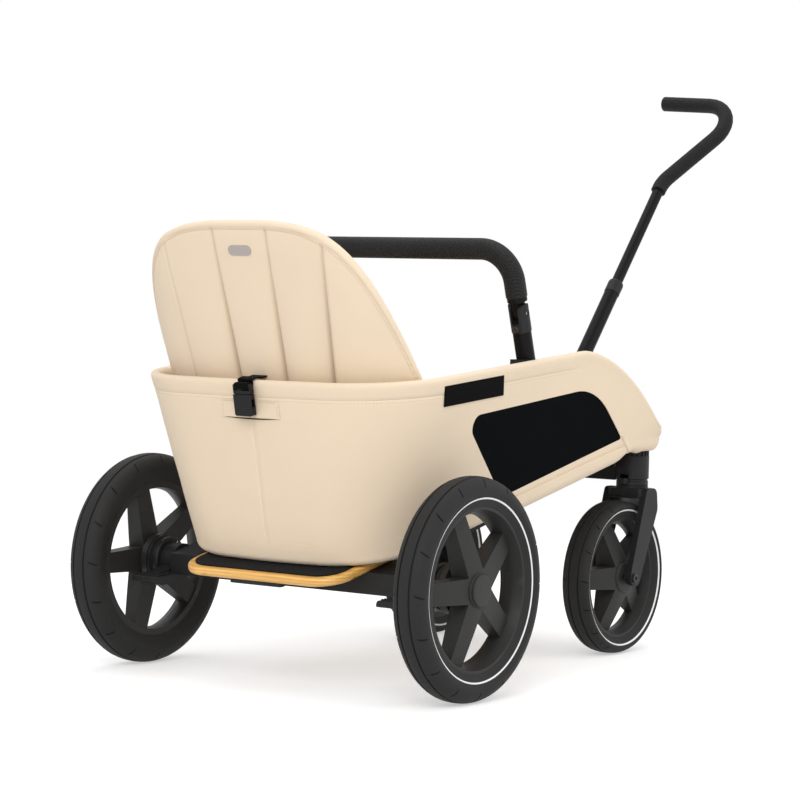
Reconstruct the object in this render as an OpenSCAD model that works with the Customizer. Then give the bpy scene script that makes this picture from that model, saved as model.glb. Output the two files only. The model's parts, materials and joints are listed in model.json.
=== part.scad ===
/* [Rear wheels] */
// Radius of the rear tyre
rear_r = 152.5; // [140:0.5:165]
// Width of the rear tyre
rear_tyre_w = 50; // [42:1:56]
// Radius of the rear rim under the tyre
rear_rim_r = 112; // [104:1:118]
// Distance between the middles of the rear wheels
rear_track = 564; // [550:1:590]
// Radius of the pale ring on the rear tyre
rear_stripe_r = 123.7; // [120:0.1:127]
// Radius of the rear axle
axle_r = 6; // [5:0.5:7]

/* [Front casters] */
// Radius of the front tyre
front_r = 117; // [110:0.5:120]
// Width of the front tyre
front_tyre_w = 46; // [40:1:50]
// Radius of the front rim under the tyre
front_rim_r = 92; // [86:1:95]
// Distance between the middles of the front wheels
front_track = 336; // [320:1:350]
// Distance from the rear axle to the front axle
wheelbase = 564; // [550:1:580]
// Distance from the front axle forward to the swivel axis
trail = 50; // [45:1:50]
// Radius of the pale rings on the front tyre
front_stripe_r = 103; // [100:0.5:105]
// Radius of the caster head
head_r = 25.5; // [24:0.5:27]
// Gap between the front tyre and each fork leg
fork_gap = 5; // [3:0.5:8]
// Thickness of a fork leg
fork_t = 10; // [8:0.5:13]
// Radius of the front axle bolt
bolt_r = 4; // [3:0.5:5]

/* [Wheel details] */
// Number of spokes in each wheel
spokes = 5; // [4:1:7]
// Width of a spoke at the hub
spoke_w = 36; // [26:1:42]
// Width of the pale tyre rings
stripe_w = 2.6; // [1.6:0.2:3.4]
// Depth of the two tread grooves
groove_d = 2.5; // [1:0.5:4]

/* [Tub] */
// Height of the rear rim above the ground
rim_rear_z = 425; // [405:1:445]
// Height of the rim at its highest point
rim_top_z = 466; // [455:1:480]
// Height of the low front edge
rim_front_z = 365; // [352:1:380]
// Half width at the rear rim
rim_rear_half = 240; // [234:1:246]
// Half width at the front rim
rim_front_half = 215; // [208:1:222]
// Thickness of the padded wall
wall = 14; // [10:1:18]
// Thickness of the floor
floor_t = 12; // [8:1:16]
// Height of the floor's underside at the rear edge
floor_z = 171; // [168:1:176]
// Rise of the floor for each millimetre forward
floor_slope = 0.22; // [0.2:0.01:0.24]
// Radius of the rear corners at the rim
rear_corner_r = 120; // [90:1:140]
// Radius of the front corners
front_corner_r = 60; // [45:1:75]

/* [Backrest and seat] */
// Height of the top of the backrest
back_top_z = 641; // [610:1:670]
// Thickness of the backrest
back_t = 24; // [18:1:30]
// Depth of the sewn channels
channel_d = 6; // [2:0.5:8]
// Distance between the sewn channels
channel_step = 80; // [70:1:84]
// Thickness of the seat pad
seat_t = 34; // [24:1:44]
// Length of the seat pad
seat_l = 400; // [340:5:430]

/* [Deck] */
// Half width of the wooden deck
deck_half = 138; // [130:1:150]
// Thickness of the wooden deck
deck_t = 12; // [9:0.5:15]
// Distance that the deck stands out behind the tub
deck_tail = 40; // [25:1:50]
// Corner radius of the deck
deck_corner_r = 45; // [30:1:60]
// Width of the bare wooden border round the grip pad
deck_border = 11; // [6:1:18]
// Thickness of the grip pad
pad_t = 2; // [1:0.5:3]
// Height of the chassis rails
rail_h = 22; // [18:1:26]
// Width of a chassis rail
rail_w = 25; // [18:1:32]

/* [Push bar] */
// Distance of each leg from the middle
leg_y = 206; // [202:0.5:207]
// Angle at which the legs lean back
leg_lean = 17.3; // [14:0.1:20]
// Radius of the leg tubes below the hinge
leg_r = 13.5; // [12:0.5:14]
// Radius of the bar tube in the foam
bar_r = 11; // [9:0.5:12]
// Radius of the foam grip
foam_r = 15.5; // [14:0.5:17]
// Height of the hinge above the rim, along the leg
hinge_h = 69; // [64:1:80]
// Height of the bar above the rim, along the leg
bar_h = 163; // [150:1:190]
// Bend radius of the bar
bar_bend_r = 48; // [40:1:60]

/* [Pull handle] */
// Angle at which the handle leans forward
pull_lean = 39.7; // [37:0.1:42]
// Length of the outer tube from its pivot
pull_outer_l = 347; // [320:1:365]
// Radius of the outer tube
pull_outer_r = 12; // [11.5:0.5:13]
// Radius of the inner tube
pull_inner_r = 9; // [8:0.5:9.5]
// Distance from the pivot to the start of the grip
pull_grip_start = 546; // [530:1:580]
// Radius of the foam grip on the handle
pull_grip_r = 12.5; // [11:0.5:14]

/* [Strap] */
// Width of the webbing
strap_w = 25; // [20:1:30]
// Thickness of the webbing
strap_t = 1.8; // [1.2:0.2:2.4]
// Width of the buckle
buckle_w = 30; // [28:1:34]

/* [Hidden] */
$fn = 64;
run_fit = 0.05;
seat_gap = 0.3;
middle_x = 471.8;
floor_x = -73;
rim_rear_x = -127;
nose_bottom_x = 650;
nose_rim_x = 643;
nose_bulge = 15;
bow = 3;
nose_dip = 52;
nose_dip_half = 75;
bottom_rear_half = 195;
bottom_front_half = 205;
nose_floor_z = 318;
rim_peak_x = 385;
rim_drop_x = 607;
rim_drop_power = 1.5;
bead = 3;
rim_share = 230;
foot_round = 12;
floor_angle = atan(floor_slope);
rear_hub_in = 26;
flange_r = 36;
hub_r = 24;
bearing_r = 14;
bearing_w = 8;
brake_holes = 12;
brake_hole_ring = 28;
pin_r = 2.5;
drum_r = 33;
drum_w = 16;
drum_gap = 1.5;
pedal_w = 23;
pedal_gap = 0.5;
stub_r = 15;
beam_half = 30;
beam_low = 136;
swivel_x = wheelbase + trail;
stem_r = 8;
crown_t = 18;
crown_z = 237;
head_low = crown_z + crown_t + 0.6;
head_top = nose_floor_z - 3.4;
head_skirt = 14;
tab_w = 15;
tab_h = 8;
tab_travel = 5;
fork_in = front_tyre_w / 2 + fork_gap;
front_beam_x = swivel_x - 15;
front_beam_w = 30;
front_beam_low = 262;
rail_clear = 17.5;
rail_y = front_track / 2 - head_r - rail_w - rail_clear;
rail_front_x = swivel_x + 20;
deck_front = 530;
pull_z = 300;
pull_x = 611;
pull_pin_r = 5;
pull_barrel_r = 13;
pull_barrel_half = 14;
ear_t = 6;
grip_neck = 18;
grip_out = 72;
grip_elbow = 164;
grip_across = 136;
grip_top = 202;
collar_l = 25;
inner_overlap = 100;
leg_x = 246;
leg_base_z = rim_z(leg_x);
socket_d = 28;
socket_half_x = 19;
socket_half_y = 14.5;
hinge_pin_r = 3.5;
ear_gap = 6;
fold_over = 10;
fold_gap = 0.4;
tongue_gap = 0.3;
button_r = 5;
button_up = 6.5;
button_travel = 3;
channel_half = 4;
back_x = -97;
back_lean = 0.30;
back_fan = 0.16;
back_flat = 100;
back_curve_r = 131;
wing_s = 252;
wing_z = 438;
label_z = 32;
fabric = [0.91, 0.82, 0.70];
black = [0.10, 0.10, 0.11];
grey = [0.25, 0.25, 0.27];

// Shared shapes

// Sets a piece so that the origin lies under the middle of the whole
module placed() {
    translate([-middle_x, 0, 0]) children();
}

function lerp(a, b, t) = a + (b - a) * t;

// A polygon with each corner rounded to its own radius, given as [x, y, radius]
function rounded(corners, steps = 6) = [
    for (i = [0 : len(corners) - 1])
        let (
            n = len(corners),
            p = [corners[i][0], corners[i][1]],
            r = corners[i][2],
            before = corners[(i + n - 1) % n],
            after = corners[(i + 1) % n],
            u = unit([before[0], before[1]] - p),
            v = unit([after[0], after[1]] - p),
            half = acos(u * v) / 2,
            middle = p + unit(u + v) * r / sin(half),
            a0 = p + u * r / tan(half) - middle,
            a1 = p + v * r / tan(half) - middle,
            start = atan2(a0[1], a0[0]),
            turn = wrap(atan2(a1[1], a1[0]) - start)
        )
        each [
            for (k = [0 : r > 0 ? steps : 0])
                middle + r * [cos(start + turn * k / steps), sin(start + turn * k / steps)]
        ]
];
function unit(v) = v / norm(v);
function wrap(a) = a > 180 ? a - 360 : a < -180 ? a + 360 : a;

// A rod along Y from y0 to y1
module y_rod(r, y0, y1) {
    translate([0, y0, 0]) rotate([-90, 0, 0]) cylinder(r = r, h = y1 - y0);
}

// A plate in the XZ plane from y0 to y1
module side_plate(points, y0, y1) {
    translate([0, y1, 0]) rotate([90, 0, 0]) linear_extrude(y1 - y0) polygon(points);
}

// What is made for the left side, or its mirror image on the right
module on_side(left) {
    if (left) children();
    else mirror([0, 1, 0]) children();
}

module both_sides() {
    on_side(true) children();
    on_side(false) children();
}

// A round rod along corner points in the XY plane, with arcs of one radius at its bends
module bent_rod(points, bend_r, r) {
    last = len(points) - 1;
    cut = [
        for (i = [0 : last])
            i == 0 || i == last ? 0 :
                let (
                    u = unit(points[i - 1] - points[i]),
                    v = unit(points[i + 1] - points[i])
                )
                bend_r / tan(acos(u * v) / 2)
    ];
    for (i = [0 : last - 1]) {
        d = unit(points[i + 1] - points[i]);
        a = points[i] + d * cut[i];
        l = norm(points[i + 1] - points[i]) - cut[i] - cut[i + 1];
        translate([a[0], a[1], 0]) rotate([0, 0, atan2(d[1], d[0])])
            rotate([0, 90, 0]) cylinder(r = r, h = l);
    }
    if (last > 1) for (i = [1 : last - 1]) {
        u = unit(points[i] - points[i - 1]);
        v = unit(points[i + 1] - points[i]);
        turn = wrap(atan2(v[1], v[0]) - atan2(u[1], u[0]));
        side = sign(turn);
        a = points[i] - u * cut[i];
        middle = a + bend_r * side * [-u[1], u[0]];
        start = atan2(a[1] - middle[1], a[0] - middle[0]);
        translate([middle[0], middle[1], 0])
            rotate([0, 0, side > 0 ? start : start + turn])
                rotate_extrude(angle = abs(turn)) translate([bend_r, 0]) circle(r);
    }
}

// A skin over stacked rings of equal length, closed by caps or by joining its ends.
// Its caps run in strips across, and from one place on as a fan, where the front curves in
module loft(rings, joined = false, fan_from = 0) {
    n = len(rings[0]);
    m = len(rings);
    half = n / 2;
    e = fan_from > 0 ? fan_from : half;
    top = (m - 1) * n;
    mid = n * m;
    middles = fan_from > 0 ? [for (ring = [rings[0], rings[m - 1]]) (ring[e] + ring[n - e]) / 2] : [];
    points = concat([for (ring = rings) each ring], middles);
    walls = [
        for (k = [0 : joined ? m - 1 : m - 2], i = [0 : n - 1])
            let (a = k * n, b = ((k + 1) % m) * n, j = (i + 1) % n)
            each [[a + i, a + j, b + j], [a + i, b + j, b + i]]
    ];
    strips = [
        for (i = [0 : e - 1])
            let (j = i + 1, l = (n - i) % n, k = n - j)
            each i == 0 ? [[j, 0, k]] : j == half ? [[i, l, j]] :
                j == e ? [[i, l, mid], [l, k, mid], [i, mid, j]] : [[i, l, k], [i, k, j]]
    ];
    fan = fan_from > 0 ? [for (q = [e : n - e - 1]) [mid, q + 1, q]] : [];
    bottom = concat(strips, fan);
    lid = [for (f = bottom) [for (v = [f[0], f[2], f[1]]) v == mid ? mid + 1 : top + v]];
    polyhedron(points, joined ? walls : concat(walls, bottom, lid));
}

// Tub form

rear_flat_n = 3;
arc_n = 6;
side_n = 14;
front_flat_n = 8;

// Height of the underside of the tub and of its rim at a place along the wagon
function floor_line(x) = floor_z + floor_slope * (x - floor_x);
function under_z(x) = min(floor_line(x), nose_floor_z);
function rim_z(x) =
    let (
        rise = lerp(rim_rear_z, rim_top_z, (x - rim_rear_x) / (rim_peak_x - rim_rear_x)),
        u = min(1, max(0, (x - rim_peak_x) / (rim_drop_x - rim_peak_x)))
    )
    x < rim_peak_x ? rise :
        rim_front_z + (rim_top_z - rim_front_z) * pow(1 - pow(u, rim_drop_power), 1 / rim_drop_power);
function dip(y) = abs(y) < nose_dip_half ? nose_dip * pow(cos(90 * y / nose_dip_half), 2) : 0;

// Right half of the plan at one level, from the rear middle to the front middle
function half_plan(t, off) =
    let (
        xr = lerp(floor_x, rim_rear_x, t) - off,
        xf = lerp(nose_bottom_x, nose_rim_x, t) + nose_bulge * 4 * t * (1 - t) + off,
        wr = lerp(bottom_rear_half, rim_rear_half, t) + off,
        wf = lerp(bottom_front_half, rim_front_half, t) + off,
        rr = rear_corner_r + off,
        rf = front_corner_r + off
    )
    concat(
        [for (i = [0 : rear_flat_n])
            [xr - bow * (1 - pow(i / rear_flat_n, 2)), -(wr - rr) * i / rear_flat_n]],
        [for (i = [1 : arc_n]) let (a = 180 + 90 * i / arc_n)
            [xr + rr + rr * cos(a), -(wr - rr) + rr * sin(a)]],
        [for (i = [1 : side_n]) let (s = i / side_n)
            [lerp(xr + rr, xf - rf, s), -lerp(wr, wf, s)]],
        [for (i = [1 : arc_n])
            let (a = 270 + 90 * i / arc_n, p = [xf - rf + rf * cos(a), -(wf - rf) + rf * sin(a)])
            [p[0] - dip(p[1]), p[1]]],
        [for (i = [1 : front_flat_n]) let (y = -(wf - rf) * (1 - i / front_flat_n)) [xf - dip(y), y]]
    );

// One ring round the tub: t is the share of the height above a lift, off the distance outwards
function ring(t, off, up = foot_round) =
    let (h = half_plan(t, off), n = len(h))
    [
        for (i = [0 : 2 * n - 3])
            let (p = i < n ? h[i] : [h[2 * n - 2 - i][0], -h[2 * n - 2 - i][1]])
            [p[0], p[1], lerp(under_z(p[0]) + up, rim_z(p[0]), t)]
    ];

function rim_ring(drop, off) =
    let (h = half_plan(1 - drop / rim_share, off), n = len(h))
    [
        for (i = [0 : 2 * n - 3])
            let (p = i < n ? h[i] : [h[2 * n - 2 - i][0], -h[2 * n - 2 - i][1]])
            [p[0], p[1], rim_z(p[0]) - drop]
    ];

module tub_skin(off_out, off_in, t0, t1) {
    steps = 8;
    loft(concat(
        [for (i = [0 : steps]) ring(lerp(t0, t1, i / steps), off_out)],
        [for (i = [steps : -1 : 0]) ring(lerp(t0, t1, i / steps), off_in)]
    ), joined = true);
}

// Outline of the side window in the XZ plane, drawn in or out by a margin
window_corners = [[70, 386, 26], [408, 418, 46], [530, 336, 6], [166, 263, 10]];
module window_prism(margin) {
    side_plate(rounded([
        for (i = [0 : 3])
            let (
                p = window_corners[i],
                to_middle = unit([290, 350] - [p[0], p[1]])
            )
            [p[0] + to_middle[0] * margin, p[1] + to_middle[1] * margin, p[2]]
    ]), -300, 300);
}

module tub_shell() {
    inner_lift = floor_t + foot_round;
    placed() color(fabric) difference() {
        loft(concat(
            [ring(0, -foot_round, 0), ring(0, -foot_round / 4, foot_round / 4), ring(0, 0)],
            [for (t = [0.15, 0.3, 0.45, 0.6, 0.7]) ring(t, 0)],
            [for (s = [[10, 0], [8.5, bead], [2.5, bead], [0, bead / 3]]) rim_ring(s[0], s[1])],
            [for (s = [[0, bead / 3], [2.5, bead], [8.5, bead], [10, 0]]) rim_ring(s[0], -wall - s[1])],
            [for (t = [0.6, 0.4, 0.2]) ring(t, -wall, inner_lift)],
            [ring(0, -wall, inner_lift), ring(0, -wall - foot_round, floor_t)]
        ), fan_from = rear_flat_n + arc_n + side_n - 1);
        window_prism(0);
        both_sides() bar_socket_block(seat_gap);
    }
}

module side_windows() {
    placed() color(black) intersection() {
        tub_skin(-5, -8, 0.08, 0.92);
        window_prism(seat_gap);
    }
}

module side_patch() {
    x0 = -3;
    x1 = 150;
    drop = 12;
    placed() color(black) intersection() {
        tub_skin(1.9, 0.6, 0.72, 0.96);
        side_plate([
            [x0, rim_z(x0) - drop - label_z], [x1, rim_z(x1) - drop - label_z],
            [x1, rim_z(x1) - drop], [x0, rim_z(x0) - drop]
        ], -300, -150);
    }
}

// Seat pad: a crowned cushion on the sloping floor

module seat_pad() {
    x0 = floor_x + 86;
    half = bottom_rear_half - wall - foot_round - 6;
    corner = 45;
    base = floor_t / cos(floor_angle) + seat_gap;
    function pad_ring(inset, up) =
        let (
            outline = rounded([
                [x0 + inset, -half + inset, corner], [x0 + seat_l - inset, -half + inset, corner],
                [x0 + seat_l - inset, half - inset, corner], [x0 + inset, half - inset, corner]
            ])
        )
        [for (p = outline) [p[0], p[1], floor_line(p[0]) + base + up]];
    function turned(ring) = [for (i = [0 : len(ring) - 1]) ring[(i + 21) % len(ring)]];
    placed() color([0.86, 0.77, 0.65]) loft([
        for (s = [[14, 0], [3, 6], [0, seat_t * 0.45], [4, seat_t * 0.75], [16, seat_t * 0.93], [42, seat_t]])
            turned(pad_ring(s[0], s[1]))
    ]);
}

// Backrest: a padded panel whose wings come forward, arched at the top, with sewn channels

function bezier(p, t) =
    pow(1 - t, 3) * p[0] + 3 * t * pow(1 - t, 2) * p[1] + 3 * t * t * (1 - t) * p[2] + pow(t, 3) * p[3];
arch = [[0, back_top_z], [150, back_top_z + 4], [160, back_top_z - 36], [wing_s, wing_z]];
back_foot_s = 140;
back_foot_x = back_x + back_lean * (rim_rear_z - floor_z);
back_hinge_x = back_foot_x + back_t / 2;
back_hinge_r = 8;
back_pin_r = 4;
back_hinge_half = 94;
back_block_t = 10;
back_hinge_z = floor_line(back_hinge_x) + floor_t + back_hinge_r + 4;
back_foot_z = back_hinge_z + back_hinge_r + 1 + seat_gap;
back_rows = concat(
    [for (i = [0 : 3]) [lerp(back_foot_s, wing_s, i / 4), lerp(back_foot_z, wing_z, i / 4)]],
    [for (i = [0 : 9]) bezier(arch, lerp(1, 0.16, i / 9))]
);
inner_columns = [
    each [0, 16],
    for (c = [channel_step / 2, channel_step * 1.5])
        each [c - 2 * channel_half, c - channel_half, c, c + channel_half, c + 2 * channel_half]
];
inner_last = inner_columns[len(inner_columns) - 1];
outer_n = 4;
function columns(s) =
    let (k = min(1, s / (inner_last + 12)))
    concat(
        [for (c = inner_columns) c * k],
        [for (i = [1 : outer_n]) lerp(inner_last * k, s, i / outer_n)]
    );
function groove(s, k) = max([
    for (c = [channel_step / 2, channel_step * 1.5])
        channel_d * max(0, 1 - abs(s / k - c) / (2 * channel_half))
]);
// A point on the panel: s along its plan curve, depth forward from its back face
function panel_point(s, z, depth) =
    let (
        k = 1 + back_fan * (z - rim_rear_z) / (back_top_z - rim_rear_z),
        a = max(0, abs(s) - back_flat) / back_curve_r * 180 / PI,
        y = min(abs(s), back_flat) * k + (back_curve_r * k - depth) * sin(a),
        x = depth + (back_curve_r * k - depth) * (1 - cos(a))
    )
    [back_x - back_lean * (z - rim_rear_z) + x, sign(s) * y, z];
module backrest() {
    rows = len(back_rows);
    function edge(s, limit) = 1 - pow(abs(s) / limit, 6);
    function row_ring(r) =
        let (
            limit = back_rows[r][0],
            z = back_rows[r][1],
            k = min(1, limit / (inner_last + 12)),
            c = columns(limit),
            n = len(c),
            pinch = r == rows - 1 ? 0.62 : r == rows - 2 ? 0.85 : 1,
            sides = [for (i = [n - 1 : -1 : 1]) -c[i]],
            all = concat(sides, c)
        )
        concat(
            [for (s = all) panel_point(s, z,
                back_t * 0.5 * (1 - pinch * (0.45 + 0.55 * edge(s, limit)))
                    + groove(abs(s), k) * (r < rows - 1 ? 1 : 0))],
            [for (i = [len(all) - 1 : -1 : 0]) panel_point(all[i], z,
                back_t * 0.5 * (1 + pinch * (0.45 + 0.55 * edge(all[i], limit))))]
        );
    function turned(ring) = let (n = len(ring)) [for (i = [0 : n - 1]) ring[(n - 1 - i + n / 2) % n]];
    placed() color(fabric) strip_loft([for (r = [0 : rows - 1]) turned(row_ring(r))]);
}

// A skin over rings that each run along one face and back along the other
module strip_loft(rings) {
    n = len(rings[0]);
    m = len(rings);
    half = n / 2;
    points = [for (ring = rings) each ring];
    walls = [
        for (k = [0 : m - 2], i = [0 : n - 1])
            let (a = k * n, b = (k + 1) * n, j = (i + 1) % n)
            each [[a + i, b + j, a + j], [a + i, b + i, b + j]]
    ];
    ends = [
        for (i = [0 : half - 2])
            let (l = n - 1 - i, k = n - 2 - i, top = (m - 1) * n)
            each [
                [i, i + 1, k], [i, k, l],
                [top + i, top + k, top + i + 1], [top + i, top + l, top + k]
            ]
    ];
    polyhedron(points, concat(walls, ends));
}

// The bar under the backrest turns on a pin between two blocks on the floor
module back_hinge_bar() {
    placed() color(grey) translate([back_hinge_x, 0, back_hinge_z]) difference() {
        union() {
            y_rod(back_hinge_r, -back_hinge_half, back_hinge_half);
            translate([-back_hinge_r, -back_hinge_half, 0])
                cube([2 * back_hinge_r, 2 * back_hinge_half, back_hinge_r + 1]);
        }
        y_rod(back_pin_r + run_fit, -back_hinge_half - 1, back_hinge_half + 1);
    }
}

module back_hinge_blocks() {
    x0 = back_hinge_x - 14;
    x1 = back_hinge_x + 14;
    y0 = back_hinge_half + seat_gap;
    placed() color(grey) both_sides() difference() {
        side_plate([
            [x0, floor_line(x0) + floor_t + 0.02], [x1, floor_line(x1) + floor_t + 0.02],
            [x1 - 5, back_hinge_z + 8], [x0 + 5, back_hinge_z + 8]
        ], y0, y0 + back_block_t);
        translate([back_hinge_x, 0, back_hinge_z]) y_rod(back_pin_r, 0, 200);
    }
}

// Places a flat piece on the back face of the backrest, with Z pointing out of it
module on_back(z, proud) {
    p = panel_point(0, z, 0);
    translate(p) rotate([0, -atan(back_lean), 0]) translate([-proud, 0, 0]) rotate([0, -90, 0]) children();
}

module back_badge() {
    length = 39;
    width = 14;
    thick = 1.6;
    placed() color([0.62, 0.60, 0.60]) on_back(back_top_z - 41, seat_gap) linear_extrude(thick) {
        square([width, length - width], center = true);
        for (s = [-1, 1]) translate([0, s * (length - width) / 2]) circle(width / 2);
    }
}

// Strap and buckle on the rear wall

rear_lean = atan((floor_x - rim_rear_x) / (rim_z(rim_rear_x) - under_z(floor_x)));
// Places a piece on the rear wall: X across the wall, Y up the wall, Z out of it
module on_rear_wall(z, proud) {
    t = (z - under_z(floor_x)) / (rim_z(rim_rear_x) - under_z(floor_x));
    translate([lerp(floor_x, rim_rear_x, t), 0, z]) rotate([0, -rear_lean, 0]) translate([-proud - bow, 0, 0])
        rotate([90, 0, -90]) children();
}

welt_w = 100;
welt_h = 24;
welt_t = 1.4;
welt_z = 386;
module strap_welt() {
    placed() color(fabric) on_rear_wall(welt_z, seat_gap) linear_extrude(welt_t)
        polygon(rounded([
            [-welt_w / 2, -welt_h / 2, 3], [welt_w / 2, -welt_h / 2, 3],
            [welt_w / 2, welt_h / 2, 3], [-welt_w / 2, welt_h / 2, 3]
        ], 3));
}

socket_h = 30;
socket_t = 9;
buckle_off = bead + 3;
prong_l = 22;
prong_w = 6;
prong_t = 4;
buckle_z = 394;
module buckle_socket() {
    inner = buckle_w - 6;
    placed() color(black) on_rear_wall(buckle_z, buckle_off) difference() {
        translate([0, 0, 0]) linear_extrude(socket_t) polygon(rounded([
            [-buckle_w / 2, -socket_h / 2, 3], [buckle_w / 2, -socket_h / 2, 3],
            [buckle_w / 2, socket_h / 2, 1.5], [-buckle_w / 2, socket_h / 2, 1.5]
        ], 4));
        translate([-inner / 2, socket_h / 2 - prong_l - 2, (socket_t - prong_t) / 2 - 0.5])
            cube([inner, prong_l + 3, prong_t + 1]);
        for (s = [-1, 1]) translate([s * buckle_w / 2 - 4, -3, (socket_t - prong_t) / 2 - 0.5])
            cube([8, 11, prong_t + 1]);
    }
    placed() color(black) on_rear_wall(buckle_z - socket_h / 2 + strap_t, welt_t + seat_gap * 2) {
        translate([-strap_w / 2, -strap_t, 0])
            cube([strap_w, strap_t - seat_gap - 0.01, buckle_off - welt_t]);
    }
}

plug_h = 14;
module buckle_plug() {
    placed() color(black) on_rear_wall(buckle_z, buckle_off) {
        translate([0, socket_h / 2 + seat_gap, 0]) difference() {
            linear_extrude(socket_t - 1) polygon(rounded([
                [-buckle_w / 2, 0, 1.5], [buckle_w / 2, 0, 1.5],
                [buckle_w / 2, plug_h, 3], [-buckle_w / 2, plug_h, 3]
            ], 4));
            translate([-strap_w / 2 - 0.5, 5, -1]) cube([strap_w + 1, 5, socket_t + 2]);
        }
        for (s = [-1, 1])
            translate([s * (buckle_w / 2 - 6.5) - prong_w / 2, socket_h / 2 + seat_gap - prong_l, (socket_t - prong_t) / 2])
            cube([prong_w, prong_l + 1, prong_t]);
    }
}

// The webbing runs from the back panel over the rim and down to the buckle
module strap() {
    z_top = rim_z(rim_rear_x + 2 * wall) + seat_gap;
    tie_z = z_top + 3;
    tie = panel_point(0, tie_z, 0);
    out = bead + bow + seat_gap;
    wall_x = lerp(floor_x, rim_rear_x, 1) - out;
    down_z = rim_rear_z - 9;
    t = (down_z - under_z(floor_x)) / (rim_z(rim_rear_x) - under_z(floor_x));
    low = [lerp(floor_x, rim_rear_x, t) - out - 0.9, down_z];
    path = [
        [tie[0] - seat_gap, tie_z], [rim_rear_x + wall, z_top + 0.5], [rim_rear_x + 4, z_top + 1],
        [wall_x, z_top - 2], [wall_x + 1, z_top - 6], [low[0], low[1]]
    ];
    function normal(i) =
        let (a = path[max(0, i - 1)], b = path[min(len(path) - 1, i + 1)], d = unit(b - a)) [d[1], -d[0]];
    placed() color(black) side_plate(concat(
        [for (i = [0 : len(path) - 1]) path[i]],
        [for (i = [len(path) - 1 : -1 : 0]) path[i] + normal(i) * strap_t]
    ), -strap_w / 2, strap_w / 2);
}

// Deck and chassis

// Puts a piece in the sloping frame of the tub's underside
module on_floor() {
    translate([floor_x, 0, floor_z]) rotate([0, -floor_angle, 0]) children();
}

function deck_plan(inset) = rounded([
    [-deck_tail + inset, -deck_half + inset, deck_corner_r - inset],
    [deck_front - inset, -deck_half + inset, 20],
    [deck_front - inset, deck_half - inset, 20],
    [-deck_tail + inset, deck_half - inset, deck_corner_r - inset]
], 12);
deck_top = -seat_gap - pad_t;
function deck_under(x) = floor_line(x) + (deck_top - deck_t) / cos(floor_angle);

module deck_board() {
    placed() color([0.85, 0.65, 0.35]) on_floor() translate([0, 0, deck_top - deck_t])
        linear_extrude(deck_t) polygon(deck_plan(0));
}

module grip_pad() {
    placed() color(black) on_floor() translate([0, 0, deck_top])
        linear_extrude(pad_t) polygon(deck_plan(deck_border));
}

// The fold catch under the tail of the deck
module catch_plate() {
    length = 92;
    depth = 26;
    thick = 6;
    placed() color(black) on_floor() translate([-deck_tail + 4, 0, deck_top - deck_t - thick])
        linear_extrude(thick)
        polygon(rounded([
            [0, -length / 2, 5], [depth, -length / 2, 5], [depth, length / 2, 5], [0, length / 2, 5]
        ], 4));
}

module chassis_rails() {
    x0 = beam_half;
    x1 = rail_front_x;
    placed() color(grey) both_sides() side_plate([
        [x0, deck_under(x0) - rail_h], [x1, deck_under(x1) - rail_h],
        [x1, deck_under(x1)], [x0, deck_under(x0)]
    ], rail_y, rail_y + rail_w);
}

drum_out = rear_track / 2 - rear_hub_in - drum_gap;
drum_in = drum_out - drum_w;
pedal_out = drum_in - pedal_gap;
pedal_in = pedal_out - pedal_w;
beam_end = pedal_in - 1;

module axle_beam() {
    placed() color(black) difference() {
        union() {
            side_plate([
                [-beam_half, beam_low], [beam_half, beam_low],
                [beam_half, deck_under(beam_half)], [-beam_half, deck_under(-beam_half)]
            ], -beam_end, beam_end);
            translate([0, 0, rear_r]) y_rod(stub_r, -drum_in, drum_in);
        }
        translate([0, 0, rear_r]) y_rod(axle_r, -drum_out, drum_out);
    }
}

module rear_axle() {
    reach = rear_track / 2 + hub_r / 2 + 4;
    placed() color("silver") translate([0, 0, rear_r]) y_rod(axle_r, -reach, reach);
}

pin_angle = 60;
module at_pin() {
    translate([brake_hole_ring * cos(pin_angle), 0, rear_r + brake_hole_ring * sin(pin_angle)]) children();
}

module brake_drums() {
    placed() color(black) both_sides() difference() {
        translate([0, 0, rear_r]) rotate([-90, 0, 0]) rotate_extrude($fn = 96) polygon([
            [axle_r, drum_in], [drum_r - 2, drum_in], [drum_r, drum_in + 2], [drum_r, drum_in + 7],
            [drum_r - 2, drum_in + 8], [drum_r - 2, drum_out - 4], [drum_r + 2, drum_out - 3],
            [drum_r + 2, drum_out], [axle_r, drum_out]
        ]);
        at_pin() y_rod(pin_r + run_fit, drum_in - 1, drum_out + 1);
    }
}

// A foot lever that turns on the beam's round end
module brake_pedal(left) {
    hub = 25;
    foot_x = -88;
    foot_w = 46;
    rib_n = 6;
    placed() color(black) on_side(left) translate([0, 0, rear_r]) difference() {
        union() {
            y_rod(hub, pedal_in, pedal_out);
            side_plate(rounded([
                [0, -24, 4], [4, 6, 4], [-40, -12, 20], [foot_x + 4, -16, 3], [foot_x, -24, 3], [-44, -32, 16]
            ], 5), pedal_in, pedal_out);
            side_plate(rounded([
                [-40, -14, 2], [foot_x + 4, -16, 3], [foot_x, -24, 3], [-44, -27, 3]
            ], 5), pedal_out - foot_w, pedal_out);
            for (i = [0 : rib_n - 1]) translate([-44 - i * 7, pedal_out - foot_w + 3, -18])
                cube([3, foot_w - 6, 4.5]);
        }
        y_rod(stub_r + run_fit, pedal_in - 1, pedal_out + 1);
        y_rod(hub + 6, pedal_out - foot_w - 1, pedal_in - 0.01);
    }
}
module brake_pedal_left() { brake_pedal(true); }
module brake_pedal_right() { brake_pedal(false); }

module lock_pin(left) {
    placed() color("silver") on_side(left) at_pin() y_rod(pin_r, drum_in + 1, drum_out - 1);
}
module lock_pin_left() { lock_pin(true); }
module lock_pin_right() { lock_pin(false); }

// Wheels, made about the Y axis with their outer side at +Y

module spin() {
    rotate([-90, 0, 0]) rotate_extrude($fn = 128) children();
}

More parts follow.
